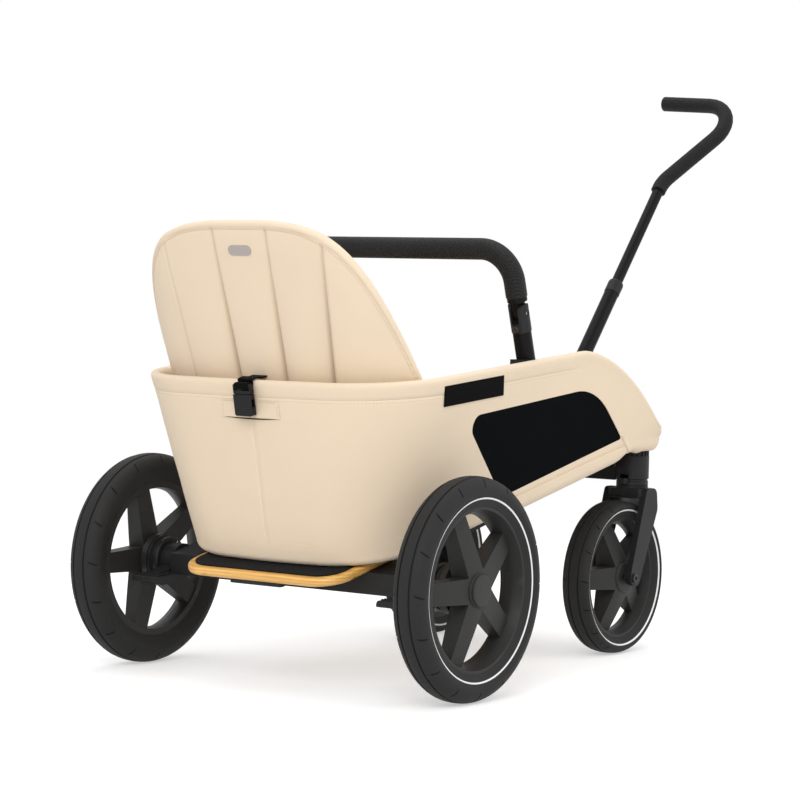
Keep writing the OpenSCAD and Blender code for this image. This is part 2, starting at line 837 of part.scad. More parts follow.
// Half of a tyre's side: from the bead to the widest place, then over the tread
function tyre_side(r, rim_r, w, wide_r, bead_half) = concat(
    [[rim_r, bead_half]],
    [for (a = [0 : 7.5 : 82.5]) [wide_r + (r - wide_r) * sin(a), w / 2 * pow(cos(a), 0.8)]]
);
function side_at(s, rim_r, w, wide_r, bead_half) = lerp(bead_half, w / 2, (s - rim_r) / (wide_r - rim_r));

module tyre(r, rim_r, w, wide_r, bead_half, stripe_r, stripe_sides, groove_a) {
    up = tyre_side(r, rim_r, w, wide_r, bead_half);
    low = side_at(stripe_r - stripe_w / 2, rim_r, w, wide_r, bead_half) - 1.2;
    spin() difference() {
        polygon(concat(up, [[r, 0]], [for (i = [len(up) - 1 : -1 : 0]) [up[i][0], -up[i][1]]]));
        for (s = [-1, 1]) translate([r - groove_d - 1.2, s * groove_a - 1.1]) square([groove_d + 4, 2.2]);
        for (s = stripe_sides)
            translate([stripe_r - stripe_w / 2, s > 0 ? low : -low - 6]) square([stripe_w, 6]);
    }
}

module stripe(rim_r, w, wide_r, bead_half, stripe_r, side) {
    r0 = stripe_r - stripe_w / 2;
    r1 = stripe_r + stripe_w / 2;
    proud = 0.4;
    a0 = side_at(r0, rim_r, w, wide_r, bead_half);
    a1 = side_at(r1, rim_r, w, wide_r, bead_half);
    spin() polygon([
        for (p = [[r0, a0 - 1.2], [r1, a0 - 1.2], [r1, a1 + proud], [r0, a0 + proud]]) [p[0], side * p[1]]
    ]);
}

// Rim ring, dished box spokes and hub
module wheel_body(rim_r, bead_half, hub_out, hub_in, rim_out) {
    rim_t = 7;
    inner = rim_r - rim_t;
    spin() polygon([
        [inner - 2, -bead_half], [rim_r - run_fit, -bead_half], [rim_r - run_fit, bead_half],
        [inner + 3, bead_half], [inner, bead_half - 6], [inner - 4, 0], [inner - 4, -bead_half + 8]
    ]);
    spin() polygon([
        [0.5, -hub_in], [hub_r, -hub_in], [hub_r, hub_out - 2], [hub_r - 2, hub_out], [0.5, hub_out]]);
    intersection() {
        spin() polygon([
            [8, -hub_in + 4], [hub_r + 6, -hub_in + 6], [inner, -bead_half + 2],
            [inner, rim_out - 8], [hub_r + 4, hub_out - 3], [8, hub_out - 2]
        ]);
        union() for (i = [0 : spokes - 1]) rotate([0, 180 + 360 * i / spokes, 0]) translate([0, 60, 0])
            rotate([90, 0, 0]) linear_extrude(120) polygon([
                [6, -spoke_w / 2], [inner, -spoke_w * 0.4], [inner, spoke_w * 0.4], [6, spoke_w / 2]
            ]);
    }
}

rear_wide_r = rear_rim_r + 20;
rear_bead = rear_tyre_w * 0.34;
rear_hub_out = 20;

module rear_wheel(left) {
    placed() color(black) on_side(left) translate([0, rear_track / 2, rear_r]) difference() {
        union() {
            wheel_body(rear_rim_r, rear_bead, rear_hub_out, rear_hub_in - 8, 12);
            y_rod(flange_r, -rear_hub_in, -rear_hub_in + 10);
        }
        y_rod(axle_r + 1, -40, 40);
        y_rod(bearing_r, -rear_hub_in - 1, -rear_hub_in + bearing_w);
        y_rod(bearing_r, rear_hub_out - bearing_w - 2, rear_hub_out + 1);
        for (i = [0 : brake_holes - 1]) rotate([0, pin_angle + 360 * i / brake_holes, 0])
            translate([brake_hole_ring, 0, 0]) y_rod(pin_r + 0.9, -rear_hub_in - 1, -rear_hub_in + 7);
    }
}
module rear_wheel_left() { rear_wheel(true); }
module rear_wheel_right() { rear_wheel(false); }

module rear_tyre(left) {
    placed() color([0.13, 0.13, 0.13]) on_side(left) translate([0, rear_track / 2, rear_r])
        tyre(rear_r, rear_rim_r, rear_tyre_w, rear_wide_r, rear_bead, rear_stripe_r, [1], 9);
}
module rear_tyre_left() { rear_tyre(true); }
module rear_tyre_right() { rear_tyre(false); }

module rear_stripe(left) {
    placed() color("white") on_side(left) translate([0, rear_track / 2, rear_r])
        stripe(rear_rim_r, rear_tyre_w, rear_wide_r, rear_bead, rear_stripe_r, 1);
}
module rear_stripe_left() { rear_stripe(true); }
module rear_stripe_right() { rear_stripe(false); }

module hub_cap(left) {
    cap_r = hub_r - 2;
    placed() color(grey) on_side(left) translate([0, rear_track / 2, rear_r]) spin() polygon([
        [0, rear_hub_out + 0.02], [cap_r, rear_hub_out + 0.02], [cap_r, rear_hub_out + 2],
        [cap_r - 1.2, rear_hub_out + 3.2], [cap_r - 3, rear_hub_out + 3.6], [0, rear_hub_out + 4]
    ]);
}
module hub_cap_left() { hub_cap(true); }
module hub_cap_right() { hub_cap(false); }

module rear_bearings(left) {
    placed() color("silver") on_side(left) translate([0, rear_track / 2, rear_r]) for (a = [
        -rear_hub_in + 0.02, rear_hub_out - bearing_w - 2 + 0.02
    ]) difference() {
        y_rod(bearing_r - 0.02, a, a + bearing_w - 0.04);
        y_rod(axle_r + run_fit, a - 1, a + bearing_w + 1);
    }
}
module rear_bearings_left() { rear_bearings(true); }
module rear_bearings_right() { rear_bearings(false); }

// Front casters

front_wide_r = front_rim_r + 15;
front_bead = front_tyre_w * 0.3;
front_hub_half = front_tyre_w / 2 - 1;

module at_front_wheel(left) {
    on_side(left) translate([wheelbase, front_track / 2, front_r]) children();
}

module front_wheel(left) {
    placed() color(black) at_front_wheel(left) difference() {
        wheel_body(front_rim_r, front_bead, front_hub_half, front_hub_half, 8);
        y_rod(bolt_r + run_fit, -40, 40);
    }
}
module front_wheel_left() { front_wheel(true); }
module front_wheel_right() { front_wheel(false); }

module front_tyre(left) {
    placed() color([0.13, 0.13, 0.13]) at_front_wheel(left)
        tyre(front_r, front_rim_r, front_tyre_w, front_wide_r, front_bead, front_stripe_r, [-1, 1], 8);
}
module front_tyre_left() { front_tyre(true); }
module front_tyre_right() { front_tyre(false); }

module front_stripes(left) {
    placed() color("white") at_front_wheel(left) for (s = [-1, 1])
        stripe(front_rim_r, front_tyre_w, front_wide_r, front_bead, front_stripe_r, s);
}
module front_stripes_left() { front_stripes(true); }
module front_stripes_right() { front_stripes(false); }

module front_bolt(left) {
    head = bolt_r + 3;
    out = fork_in + fork_t;
    placed() color(grey) at_front_wheel(left) difference() {
        union() {
            y_rod(bolt_r, -out, out);
            for (s = [-1, 1]) translate([0, s * (out + 1.5), 0]) y_rod(head, -1.5, 1.5);
        }
        translate([0, out + 1, 0]) rotate([-90, 0, 0]) cylinder(r = bolt_r * 0.8, h = 6, $fn = 6);
    }
}
module front_bolt_left() { front_bolt(true); }
module front_bolt_right() { front_bolt(false); }

// Fork: swivel stem, crown over the tyre and two trailing legs
module fork(left) {
    tip = 15;
    sx = trail;
    top = crown_z + crown_t - front_r;
    placed() color(black) at_front_wheel(left) difference() {
        union() {
            for (s = [-1, 1]) side_plate(rounded([
                [sx - 18, top - 3, 8], [sx + 11, top - 3, 12], [sx + 15, top - 36, 18],
                [tip * 0.8, -tip, tip * 0.8], [-tip, -tip * 0.4, tip * 0.8], [sx - 26, top - 28, 18]
            ], 8), s > 0 ? fork_in : -fork_in - fork_t, s > 0 ? fork_in + fork_t : -fork_in);
            translate([0, 0, top - crown_t]) linear_extrude(crown_t - 4) polygon(rounded([
                [sx - 24, -fork_in - 2, 6], [sx + 16, -fork_in - 2, 8],
                [sx + 16, fork_in + 2, 8], [sx - 24, fork_in + 2, 6]
            ], 6));
            translate([sx, 0, top - crown_t]) cylinder(r = head_r - 1, h = crown_t);
            translate([sx, 0, top - 1]) cylinder(r = stem_r, h = head_top - head_low - 12);
        }
        y_rod(bolt_r, -60, 60);
    }
}
module fork_left() { fork(true); }
module fork_right() { fork(false); }

module caster_heads() {
    ribs = 20;
    rib_t = 3;
    skirt_z = head_top - head_skirt;
    placed() color(black) both_sides() translate([swivel_x, front_track / 2, 0]) difference() {
        union() {
            rotate_extrude($fn = 96) polygon([
                [0, head_low], [head_r - 1, head_low], [head_r - 1, head_low + 6], [head_r - 2, head_low + 7],
                [head_r - 2, head_low + 9], [head_r, head_low + 10], [head_r, skirt_z],
                [head_r - 2.5, skirt_z + 2], [head_r - 2.5, head_top], [0, head_top]
            ]);
            for (i = [0 : ribs - 1]) rotate([0, 0, 360 * i / ribs])
                translate([head_r - 5, -rib_t / 2, skirt_z - 1]) cube([4.6, rib_t, head_skirt + 0.5]);
        }
        translate([0, 0, head_low - 1]) cylinder(r = stem_r + run_fit, h = head_top - head_low - 9);
        translate([-head_r - 1, -tab_w / 2 - seat_gap, head_low + 3])
            cube([13, tab_w + 2 * seat_gap, tab_h + tab_travel + 1]);
    }
}

module swivel_tab(left) {
    reach = 9;
    placed() color(black) on_side(left) translate([swivel_x, front_track / 2, head_low + 3 + seat_gap])
        translate([0, 0, tab_h]) rotate([180, 0, 0]) linear_extrude(tab_h) polygon(rounded([
            [-head_r - reach, -tab_w / 2, 3], [-head_r + 11.5, -tab_w / 2, 0.5],
            [-head_r + 11.5, tab_w / 2, 0.5], [-head_r - reach, tab_w / 2, 3]
        ], 4));
}
module swivel_tab_left() { swivel_tab(true); }
module swivel_tab_right() { swivel_tab(false); }

module front_beam() {
    rest = pull_outer_r + 0.6;
    x0 = front_beam_x;
    x1 = front_beam_x + front_beam_w;
    placed() color(black) difference() {
        side_plate([
            [x0, front_beam_low], [x1, front_beam_low],
            [x1, deck_under(x1) - rail_h], [x0, deck_under(x0) - rail_h]
        ], -front_track / 2 + stem_r, front_track / 2 - stem_r);
        both_sides() translate([swivel_x, front_track / 2, 0])
            cylinder(r = head_r + 0.02, h = 2 * nose_floor_z);
        translate([pull_x, -rest, pull_z - rest]) cube([2 * front_beam_w, 2 * rest, 2 * rest]);
    }
}

// Push bar

// Puts a piece in the frame of one leg: Z up the leg, with the rim at zero
module on_leg(left) {
    on_side(left) translate([leg_x, leg_y, leg_base_z]) rotate([0, -leg_lean, 0]) children();
}

module bar_socket_block(margin) {
    translate([leg_x, leg_y, leg_base_z]) {
        tall = socket_d + 2 * margin + (margin > 0 ? 30 : 0);
        translate([-socket_half_x - margin, -socket_half_y - margin, -socket_d - margin])
            cube([2 * (socket_half_x + margin), 2 * (socket_half_y + margin), tall]);
    }
}

module bar_sockets() {
    placed() color(black) both_sides() difference() {
        bar_socket_block(0);
        translate([leg_x, leg_y, leg_base_z]) rotate([0, -leg_lean, 0])
            translate([0, 0, -socket_d + 7]) cylinder(r = leg_r + 0.02, h = 60);
    }
}

body_r = leg_r + 1;
body_low = hinge_h - 26.5;
body_top = hinge_h - body_r * tan(fold_over) - (bar_r - 1) / cos(fold_over) - fold_gap;
module bar_stubs() {
    placed() color(grey) both_sides() translate([leg_x, leg_y, leg_base_z]) rotate([0, -leg_lean, 0])
        difference() {
            translate([0, 0, -socket_d + 7.02]) cylinder(r = leg_r, h = body_low + socket_d - 7.04);
            translate([0, 0, -socket_d + 9]) cylinder(r = leg_r - 2, h = body_low + socket_d);
        }
}

// Lower half of the fold hinge: a collar with two ears
module hinge_bodies() {
    placed() color(black) both_sides() translate([leg_x, leg_y, leg_base_z]) rotate([0, -leg_lean, 0])
        difference() {
            intersection() {
                union() {
                    translate([0, 0, body_low]) cylinder(r = body_r, h = body_top - body_low);
                    translate([-body_r, -body_r, body_low + 1])
                        cube([2 * body_r, 2 * body_r, hinge_h - body_low - 1]);
                    translate([0, 0, hinge_h]) y_rod(body_r, -body_r, body_r);
                }
                translate([0, 0, body_low]) cylinder(r = body_r, h = 60);
            }
            translate([-30, -ear_gap, body_top]) cube([60, 2 * ear_gap, 60]);
            translate([0, 0, hinge_h]) y_rod(hinge_pin_r, -30, 30);
            translate([-body_r - 1, 0, body_low + button_up]) rotate([0, 90, 0])
                cylinder(r = button_r + run_fit, h = 12);
        }
}

// The plain steel pins of the bar's, the handle's and the backrest's pivots
module pivot_pins() {
    pull_reach = pull_barrel_half + seat_gap + ear_t + 3;
    back_reach = back_hinge_half + seat_gap + back_block_t;
    placed() color("silver") {
        both_sides() translate([leg_x, leg_y, leg_base_z]) rotate([0, -leg_lean, 0])
            translate([0, 0, hinge_h]) y_rod(hinge_pin_r, -body_r + 2, body_r - 2);
        translate([pull_x, 0, pull_z]) y_rod(pull_pin_r, -pull_reach, pull_reach);
        translate([back_hinge_x, 0, back_hinge_z]) y_rod(back_pin_r, -back_reach, back_reach);
    }
}

module hinge_button(left) {
    proud = button_travel;
    placed() color(grey) on_leg(left) translate([-body_r - proud, 0, body_low + button_up]) rotate([0, 90, 0])
        rotate_extrude() polygon([
            [0, 0], [button_r - 1, 0], [button_r, 1], [button_r, 9], [0, 9]
        ]);
}
module hinge_button_left() { hinge_button(true); }
module hinge_button_right() { hinge_button(false); }

collar_low = hinge_h + (body_r * (1 + sin(fold_over)) + fold_gap) / cos(fold_over);
foam_low = collar_low + 6;
bar_path = [[-leg_y, collar_low + 2], [-leg_y, bar_h], [leg_y, bar_h], [leg_y, collar_low + 2]];
foam_path = [[-leg_y, foam_low], [-leg_y, bar_h], [leg_y, bar_h], [leg_y, foam_low]];

// Turns a path drawn in XY so that it stands in the plane of the legs
module in_bar_plane() {
    translate([leg_x, 0, leg_base_z]) rotate([0, -leg_lean, 0]) rotate([90, 0, 90]) children();
}

module push_bar() {
    tongue = ear_gap - tongue_gap;
    placed() color(black) {
        difference() {
            union() {
                in_bar_plane() bent_rod(bar_path, bar_bend_r, bar_r);
                both_sides() on_leg(true) {
                    translate([0, 0, collar_low]) cylinder(r = body_r, h = foam_low - collar_low - 0.05);
                    translate([-bar_r + 1, -tongue, hinge_h])
                        cube([2 * bar_r - 2, 2 * tongue, collar_low - hinge_h + 1]);
                    translate([0, 0, hinge_h]) y_rod(bar_r - 1, -tongue, tongue);
                }
            }
            both_sides() on_leg(true) translate([0, 0, hinge_h]) y_rod(hinge_pin_r + run_fit, -30, 30);
        }
    }
}

module push_grip() {
    placed() color([0.15, 0.15, 0.15]) in_bar_plane() difference() {
        bent_rod(foam_path, bar_bend_r, foam_r);
        bent_rod([for (p = foam_path) p], bar_bend_r, bar_r + run_fit);
        for (s = [-1, 1]) translate([s * leg_y, foam_low - 5, 0]) rotate([-90, 0, 0])
            cylinder(r = bar_r + run_fit, h = 10);
    }
}

// Pull handle

// Puts a piece in the handle's frame: Z up the pole from its pivot
module on_pole() {
    translate([pull_x, 0, pull_z]) rotate([0, pull_lean, 0]) children();
}

module pull_bracket() {
    inner = pull_barrel_half + seat_gap;
    placed() color(black) difference() {
        both_sides() {
            side_plate(rounded([
                [pull_x - 12, deck_under(pull_x - 12) - rail_h + 0.02, 0.5],
                [pull_x + 12, deck_under(pull_x + 12) - rail_h + 0.02, 0.5],
                [pull_x + 11, pull_z + 11, 9], [pull_x - 11, pull_z + 11, 9]
            ], 8), inner, inner + ear_t);
        }
        translate([pull_x, 0, pull_z]) y_rod(pull_pin_r, -60, 60);
    }
}

module pull_outer_tube() {
    placed() color(black) on_pole() difference() {
        union() {
            y_rod(pull_barrel_r, -pull_barrel_half, pull_barrel_half);
            cylinder(r = pull_outer_r, h = pull_outer_l - collar_l);
        }
        y_rod(pull_pin_r + run_fit, -30, 30);
        translate([0, 0, pull_barrel_r + 4]) cylinder(r = pull_inner_r + 0.3, h = pull_outer_l);
    }
}

module pull_collar() {
    r = pull_outer_r + 0.8;
    placed() color(black) on_pole() rotate_extrude() polygon([
        [pull_inner_r + run_fit, pull_outer_l - collar_l + 0.02], [r, pull_outer_l - collar_l + 0.02],
        [r, pull_outer_l - 5], [r - 1, pull_outer_l - 2], [r - 3, pull_outer_l],
        [pull_inner_r + run_fit, pull_outer_l]
    ]);
}

module pull_inner_tube() {
    start = pull_outer_l - inner_overlap;
    placed() color(grey) on_pole() difference() {
        translate([0, 0, start]) cylinder(r = pull_inner_r, h = pull_grip_start - start);
        translate([0, 0, start - 1]) cylinder(r = pull_inner_r - 2, h = pull_grip_start - start - 4);
    }
}

// A foam grip shaped like a seven: out to the right up the pole, then back across it
grip_path = [
    [0, pull_grip_start + 0.02], [0, pull_grip_start + grip_neck],
    [-grip_out, pull_grip_start + grip_elbow], [grip_across - grip_out, pull_grip_start + grip_top]
];
grip_bend_r = 30;
// Places along the grip's middle line with their directions, more of them in its bends
function grip_line(points, bend_r, steps) = concat(
    [[points[0], unit(points[1] - points[0])]],
    [
        for (i = [1 : len(points) - 2])
            let (
                u = unit(points[i] - points[i - 1]),
                v = unit(points[i + 1] - points[i]),
                turn = wrap(atan2(v[1], v[0]) - atan2(u[1], u[0])),
                side = sign(turn),
                a = points[i] - u * bend_r * tan(abs(turn) / 2),
                middle = a + bend_r * side * [-u[1], u[0]],
                start = atan2(a[1] - middle[1], a[0] - middle[0]),
                heading = atan2(u[1], u[0])
            )
            each [
                for (k = [0 : steps])
                    let (t = turn * k / steps)
                    [middle + bend_r * [cos(start + t), sin(start + t)], [cos(heading + t), sin(heading + t)]]
            ]
    ],
    [
        let (last = points[len(points) - 1], before = points[len(points) - 2])
        [last, unit(last - before)]
    ]
);
module pull_grip() {
    around = 20;
    line = grip_line(grip_path, grip_bend_r, 8);
    tip = line[len(line) - 1];
    stations = concat(
        [for (s = line) [s[0], s[1], pull_grip_r]],
        [
            for (e = [[4, 0.96], [7.5, 0.8], [10, 0.5], [11, 0.15]])
                [tip[0] + tip[1] * e[0], tip[1], pull_grip_r * e[1]]
        ]
    );
    m = len(stations);
    points = [
        for (s = stations, i = [0 : around - 1])
            let (a = 360 * i / around, out = s[2] * cos(a))
            [s[0][0] - s[1][1] * out, s[0][1] + s[1][0] * out, s[2] * sin(a)]
    ];
    walls = [
        for (k = [0 : m - 2], i = [0 : around - 1])
            let (a = k * around, b = a + around, j = (i + 1) % around)
            each [[a + i, b + j, a + j], [a + i, b + i, b + j]]
    ];
    ends = [[for (i = [0 : around - 1]) i], [for (i = [around - 1 : -1 : 0]) (m - 1) * around + i]];
    placed() color([0.15, 0.15, 0.15]) on_pole() rotate([90, 0, 90]) polyhedron(points, concat(walls, ends));
}

deck_board();
grip_pad();
catch_plate();
chassis_rails();
axle_beam();
rear_axle();
brake_drums();
brake_pedal_left();
brake_pedal_right();
lock_pin_left();
lock_pin_right();
rear_wheel_left();
rear_wheel_right();
rear_tyre_left();
rear_tyre_right();
rear_stripe_left();
rear_stripe_right();
hub_cap_left();
hub_cap_right();
rear_bearings_left();
rear_bearings_right();
front_beam();
caster_heads();
swivel_tab_left();
swivel_tab_right();
fork_left();
fork_right();
front_bolt_left();
front_bolt_right();
front_wheel_left();
front_wheel_right();
front_tyre_left();
front_tyre_right();
front_stripes_left();
front_stripes_right();
tub_shell();
side_windows();
side_patch();
seat_pad();
backrest();
back_badge();
back_hinge_bar();
back_hinge_blocks();
strap_welt();
strap();
buckle_socket();
buckle_plug();
bar_sockets();
bar_stubs();
hinge_bodies();
pivot_pins();
hinge_button_left();
hinge_button_right();
push_bar();
push_grip();
pull_bracket();
pull_outer_tube();
pull_collar();
pull_inner_tube();
pull_grip();
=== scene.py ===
"""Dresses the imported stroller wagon: sewn tub, padded back and seat, windows, tyres, grips and finishes."""

import json
import math

import bpy
from bpy.props import FloatProperty, FloatVectorProperty, IntProperty, PointerProperty
from mathutils import Matrix, Vector, noise


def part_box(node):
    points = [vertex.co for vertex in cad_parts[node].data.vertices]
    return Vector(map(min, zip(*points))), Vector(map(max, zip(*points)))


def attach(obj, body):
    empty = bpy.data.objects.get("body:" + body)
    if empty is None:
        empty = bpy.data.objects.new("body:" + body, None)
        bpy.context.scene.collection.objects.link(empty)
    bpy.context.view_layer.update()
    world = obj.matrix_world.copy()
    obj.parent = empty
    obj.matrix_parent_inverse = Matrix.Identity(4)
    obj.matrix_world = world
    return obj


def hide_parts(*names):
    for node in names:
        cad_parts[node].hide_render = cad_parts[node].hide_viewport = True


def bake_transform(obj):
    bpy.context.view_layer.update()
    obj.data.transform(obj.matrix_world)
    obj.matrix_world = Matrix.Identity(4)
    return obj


bl_info = {
    "name": "Stroller wagon",
    "version": (1, 0, 0),
    "blender": (4, 5, 0),
    "location": "View3D > Sidebar > Wagon",
    "description": "Models the soft pieces and the finishes of a stroller wagon round its frame",
    "category": "Object",
}

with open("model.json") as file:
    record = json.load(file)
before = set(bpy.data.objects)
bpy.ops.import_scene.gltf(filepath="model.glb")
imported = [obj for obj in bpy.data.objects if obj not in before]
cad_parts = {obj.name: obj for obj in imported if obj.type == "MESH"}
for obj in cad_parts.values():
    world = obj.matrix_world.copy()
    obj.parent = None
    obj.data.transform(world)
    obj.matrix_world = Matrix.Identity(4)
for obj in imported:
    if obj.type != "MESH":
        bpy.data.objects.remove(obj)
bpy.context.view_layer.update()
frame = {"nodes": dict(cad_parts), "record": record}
NODES = frame["nodes"]
MM = 0.001
AXLE_LOW, AXLE_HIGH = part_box("rear_axle")
AXLE_X = (AXLE_LOW.x + AXLE_HIGH.x) / 2
SIDES = {"left": 1, "right": -1}


def colour_property(label, says, default):
    return FloatVectorProperty(
        name=label, description=says, subtype="COLOR", size=3, min=0, max=1, default=default
    )


def length_property(label, says, default):
    return FloatProperty(name=label, description=says, unit="LENGTH", min=0, default=default)


class WagonColours(bpy.types.PropertyGroup):
    """Colours of the wagon's finishes."""

    fabric: colour_property("Fabric", "Cloth of the tub, the back and the seat", (0.86, 0.71, 0.53))
    # The seam colour is the thread's own colour, and also the painted shade in the backrest's channels and
    # seams and, much darker, the painted shadow under the rear welt.
    seam: colour_property("Seam", "Sewing thread and the shade in a seam", (0.62, 0.48, 0.34))
    plastic: colour_property("Plastic", "Moulded black plastic", (0.013, 0.013, 0.0135))
    tube: colour_property("Tube", "Black coated tubes and rails", (0.006, 0.006, 0.0065))
    wheel: colour_property("Wheel", "Spokes and rims", (0.024, 0.0232, 0.0225))
    rubber: colour_property("Rubber", "Tyre rubber", (0.019, 0.0188, 0.0187))
    foam: colour_property("Foam", "Foam of both grips", (0.009, 0.0087, 0.0087))
    mesh: colour_property("Mesh", "Window mesh", (0.0030, 0.0036, 0.0048))
    webbing: colour_property("Webbing", "Woven strap", (0.005, 0.005, 0.0055))
    bamboo: colour_property("Bamboo", "Light strips of the deck", (0.84, 0.45, 0.10))
    badge: colour_property("Badge", "Oval on the backrest", (0.42, 0.38, 0.36))
    stripe: colour_property("Stripe", "Reflective stripe on the tyres", (0.86, 0.86, 0.85))


class WagonSizes(bpy.types.PropertyGroup):
    """Sizes of the sewn and moulded details."""

    seam_depth: length_property("Seam depth", "How far a seam draws the cloth in", 0.0016)
    stitch: length_property("Stitch", "Length of one stitch", 0.0034)
    stitch_gap: length_property("Stitch gap", "Space between two stitches", 0.0018)
    thread: length_property("Thread", "Radius of the sewing thread", 0.0004)
    channel_depth: length_property("Channel depth", "Depth of the sewn channels", 0.0065)
    sipes: IntProperty(name="Sipes", description="Cuts round a tyre's shoulder", min=6, default=16)
    sipe_depth: length_property("Sipe depth", "Depth of the cuts in a tyre", 0.0022)
    knurl: length_property("Knurl", "Spacing of the diamonds on the push bar's foam", 0.0038)
    pillow: length_property("Pillow", "How far the stuffing may swell", 0.006)
    room_light: FloatProperty(name="Room light", description="Light of the room", min=0, default=0.78)


def sizes():
    return bpy.context.scene.wagon_sizes


def colours():
    return bpy.context.scene.wagon_colours


def mix(a, b, t):
    return a + (b - a) * t


def smooth(t):
    t = min(1.0, max(0.0, t))
    return t * t * (3 - 2 * t)


def row_point(x, y, z):
    """A place given in millimetres from the ground under the rear axle, in the frame's metres."""
    return Vector((x * MM + AXLE_X, y * MM, z * MM))


# Shader helpers

FLOAT, COLOR, VECTOR = "NodeSocketFloat", "NodeSocketColor", "NodeSocketVector"


def put(tree, socket, value):
    """Sets a socket, or links it where its value is another socket."""
    if isinstance(value, bpy.types.NodeSocket):
        tree.links.new(value, socket)
    else:
        socket.default_value = value


def node(tree, kind, **values):
    """Adds a shader node and sets its options, or its sockets by name."""
    made = tree.nodes.new(kind)
    for key, value in values.items():
        if hasattr(made, key):
            setattr(made, key, value)
        else:
            put(tree, made.inputs[key.replace("_", " ")], value)
    return made


def math_node(tree, operation, *values, clamp=False):
    """The result of an operation on numbers or sockets."""
    made = node(tree, "ShaderNodeMath", operation=operation, use_clamp=clamp)
    for socket, value in zip(made.inputs, values):
        put(tree, socket, value)
    return made.outputs[0]


def blend_colours(tree, factor, a, b, way="MIX"):
    """Two colours mixed by a node that also holds number sockets of the same names."""
    made = node(tree, "ShaderNodeMix", data_type="RGBA", blend_type=way, Factor=factor)
    for name, value in (("A", a), ("B", b)):
        put(tree, next(s for s in made.inputs if s.name == name and s.type == "RGBA"), value)
    return next(s for s in made.outputs if s.type == "RGBA")


def own_place(tree):
    return tree.nodes.new("ShaderNodeTexCoord").outputs["Object"]


def noise_at(tree, place, scale, **values):
    return node(tree, "ShaderNodeTexNoise", Vector=place, Scale=scale, **values).outputs["Fac"]


def ramp_value(tree, value, low, high, least=0.0, most=1.0):
    """A value spread from one range to another."""
    limits = {"From_Min": low, "From_Max": high, "To_Min": least, "To_Max": most}
    return node(tree, "ShaderNodeMapRange", Value=value, **limits).outputs["Result"]


def new_group(name, inputs, outputs):
    """An empty shader node group: its tree, the sockets that come into it and those at its end."""
    tree = bpy.data.node_groups.new(name, "ShaderNodeTree")
    for label, default in inputs.items():
        kind = default if isinstance(default, str) else FLOAT
        socket = tree.interface.new_socket(label, in_out="INPUT", socket_type=kind)
        if kind == FLOAT:
            socket.default_value = default
    for label, kind in outputs.items():
        tree.interface.new_socket(label, in_out="OUTPUT", socket_type=kind)
    return tree, tree.nodes.new("NodeGroupInput").outputs, tree.nodes.new("NodeGroupOutput").inputs


def mottle_group():
    """Uneven colour: soft patches that darken or lighten a colour."""
    tree, start, end = new_group(
        "Mottle", {"Colour": COLOR, "Amount": 0.1, "Scale": 8.0}, {"Colour": COLOR, "Mask": FLOAT}
    )
    patches = noise_at(tree, own_place(tree), start["Scale"], Detail=6.0, Roughness=0.6)
    shade = math_node(tree, "SUBTRACT", patches, 0.5)
    gain = math_node(tree, "MULTIPLY_ADD", shade, start["Amount"], 1.0)
    tint = node(tree, "ShaderNodeHueSaturation", Color=start["Colour"], Value=gain)
    put(tree, end["Colour"], tint.outputs["Color"])
    put(tree, end["Mask"], patches)
    return tree


def weave_group():
    """Plain weave over a flat map in metres: height, and a mask between the two threads."""
    tree, start, end = new_group(
        "Weave", {"Vector": VECTOR, "Threads": 900.0}, {"Height": FLOAT, "Mask": FLOAT}
    )
    parts = node(tree, "ShaderNodeSeparateXYZ", Vector=start["Vector"])
    waves = []
    for axis in "XY":
        turns = math_node(tree, "MULTIPLY", parts.outputs[axis], start["Threads"])
        waves.append(math_node(tree, "SINE", math_node(tree, "MULTIPLY", turns, 2 * math.pi)))
    cross = math_node(tree, "MULTIPLY", *waves)
    put(tree, end["Height"], math_node(tree, "MULTIPLY_ADD", cross, 0.5, 0.5))
    put(tree, end["Mask"], math_node(tree, "GREATER_THAN", cross, 0.0))
    return tree


def grain_group():
    """Fine moulded texture: a height, and an uneven gloss."""
    tree, start, end = new_group(
        "Moulded grain", {"Scale": 900.0, "Gloss": 0.45, "Uneven": 0.12},
        {"Height": FLOAT, "Roughness": FLOAT},
    )
    place = own_place(tree)
    swing = math_node(tree, "SUBTRACT", noise_at(tree, place, 22.0, Detail=4.0), 0.5)
    rough = math_node(tree, "MULTIPLY_ADD", swing, start["Uneven"], start["Gloss"])
    put(tree, end["Height"], noise_at(tree, place, start["Scale"], Detail=2.0))
    put(tree, end["Roughness"], rough)
    return tree


def pebble_group():
    """Small round bumps, as on a foam grip."""
    tree, start, end = new_group("Pebble", {"Scale": 420.0}, {"Height": FLOAT})
    where = {"Vector": own_place(tree), "Scale": start["Scale"]}
    cells = node(tree, "ShaderNodeTexVoronoi", feature="SMOOTH_F1", **where)
    put(tree, end["Height"], math_node(tree, "SUBTRACT", 1.0, cells.outputs["Distance"], clamp=True))
    return tree


def wear_group():
    """Lighter, rubbed edges, broken up by noise."""
    tree, start, end = new_group(
        "Edge wear", {"Colour": COLOR, "Worn": COLOR, "Amount": 0.3}, {"Colour": COLOR, "Mask": FLOAT}
    )
    sharp = tree.nodes.new("ShaderNodeNewGeometry").outputs["Pointiness"]
    edge = ramp_value(tree, sharp, 0.53, 0.62)
    broken = math_node(tree, "MULTIPLY", edge, noise_at(tree, own_place(tree), 60.0, Detail=5.0))
    mask = math_node(tree, "MULTIPLY", broken, start["Amount"], clamp=True)
    put(tree, end["Colour"], blend_colours(tree, mask, start["Colour"], start["Worn"]))
    put(tree, end["Mask"], mask)
    return tree


EFFECTS = {
    "Mottle": mottle_group, "Weave": weave_group, "Moulded grain": grain_group,
    "Pebble": pebble_group, "Edge wear": wear_group,
}
GROUPS = {}


def effect(tree, name, **values):
    """Places one of the shared effects in a material, and gives what comes out of it."""
    if name not in GROUPS:
        GROUPS[name] = EFFECTS[name]()
    return node(tree, "ShaderNodeGroup", node_tree=GROUPS[name], **values).outputs


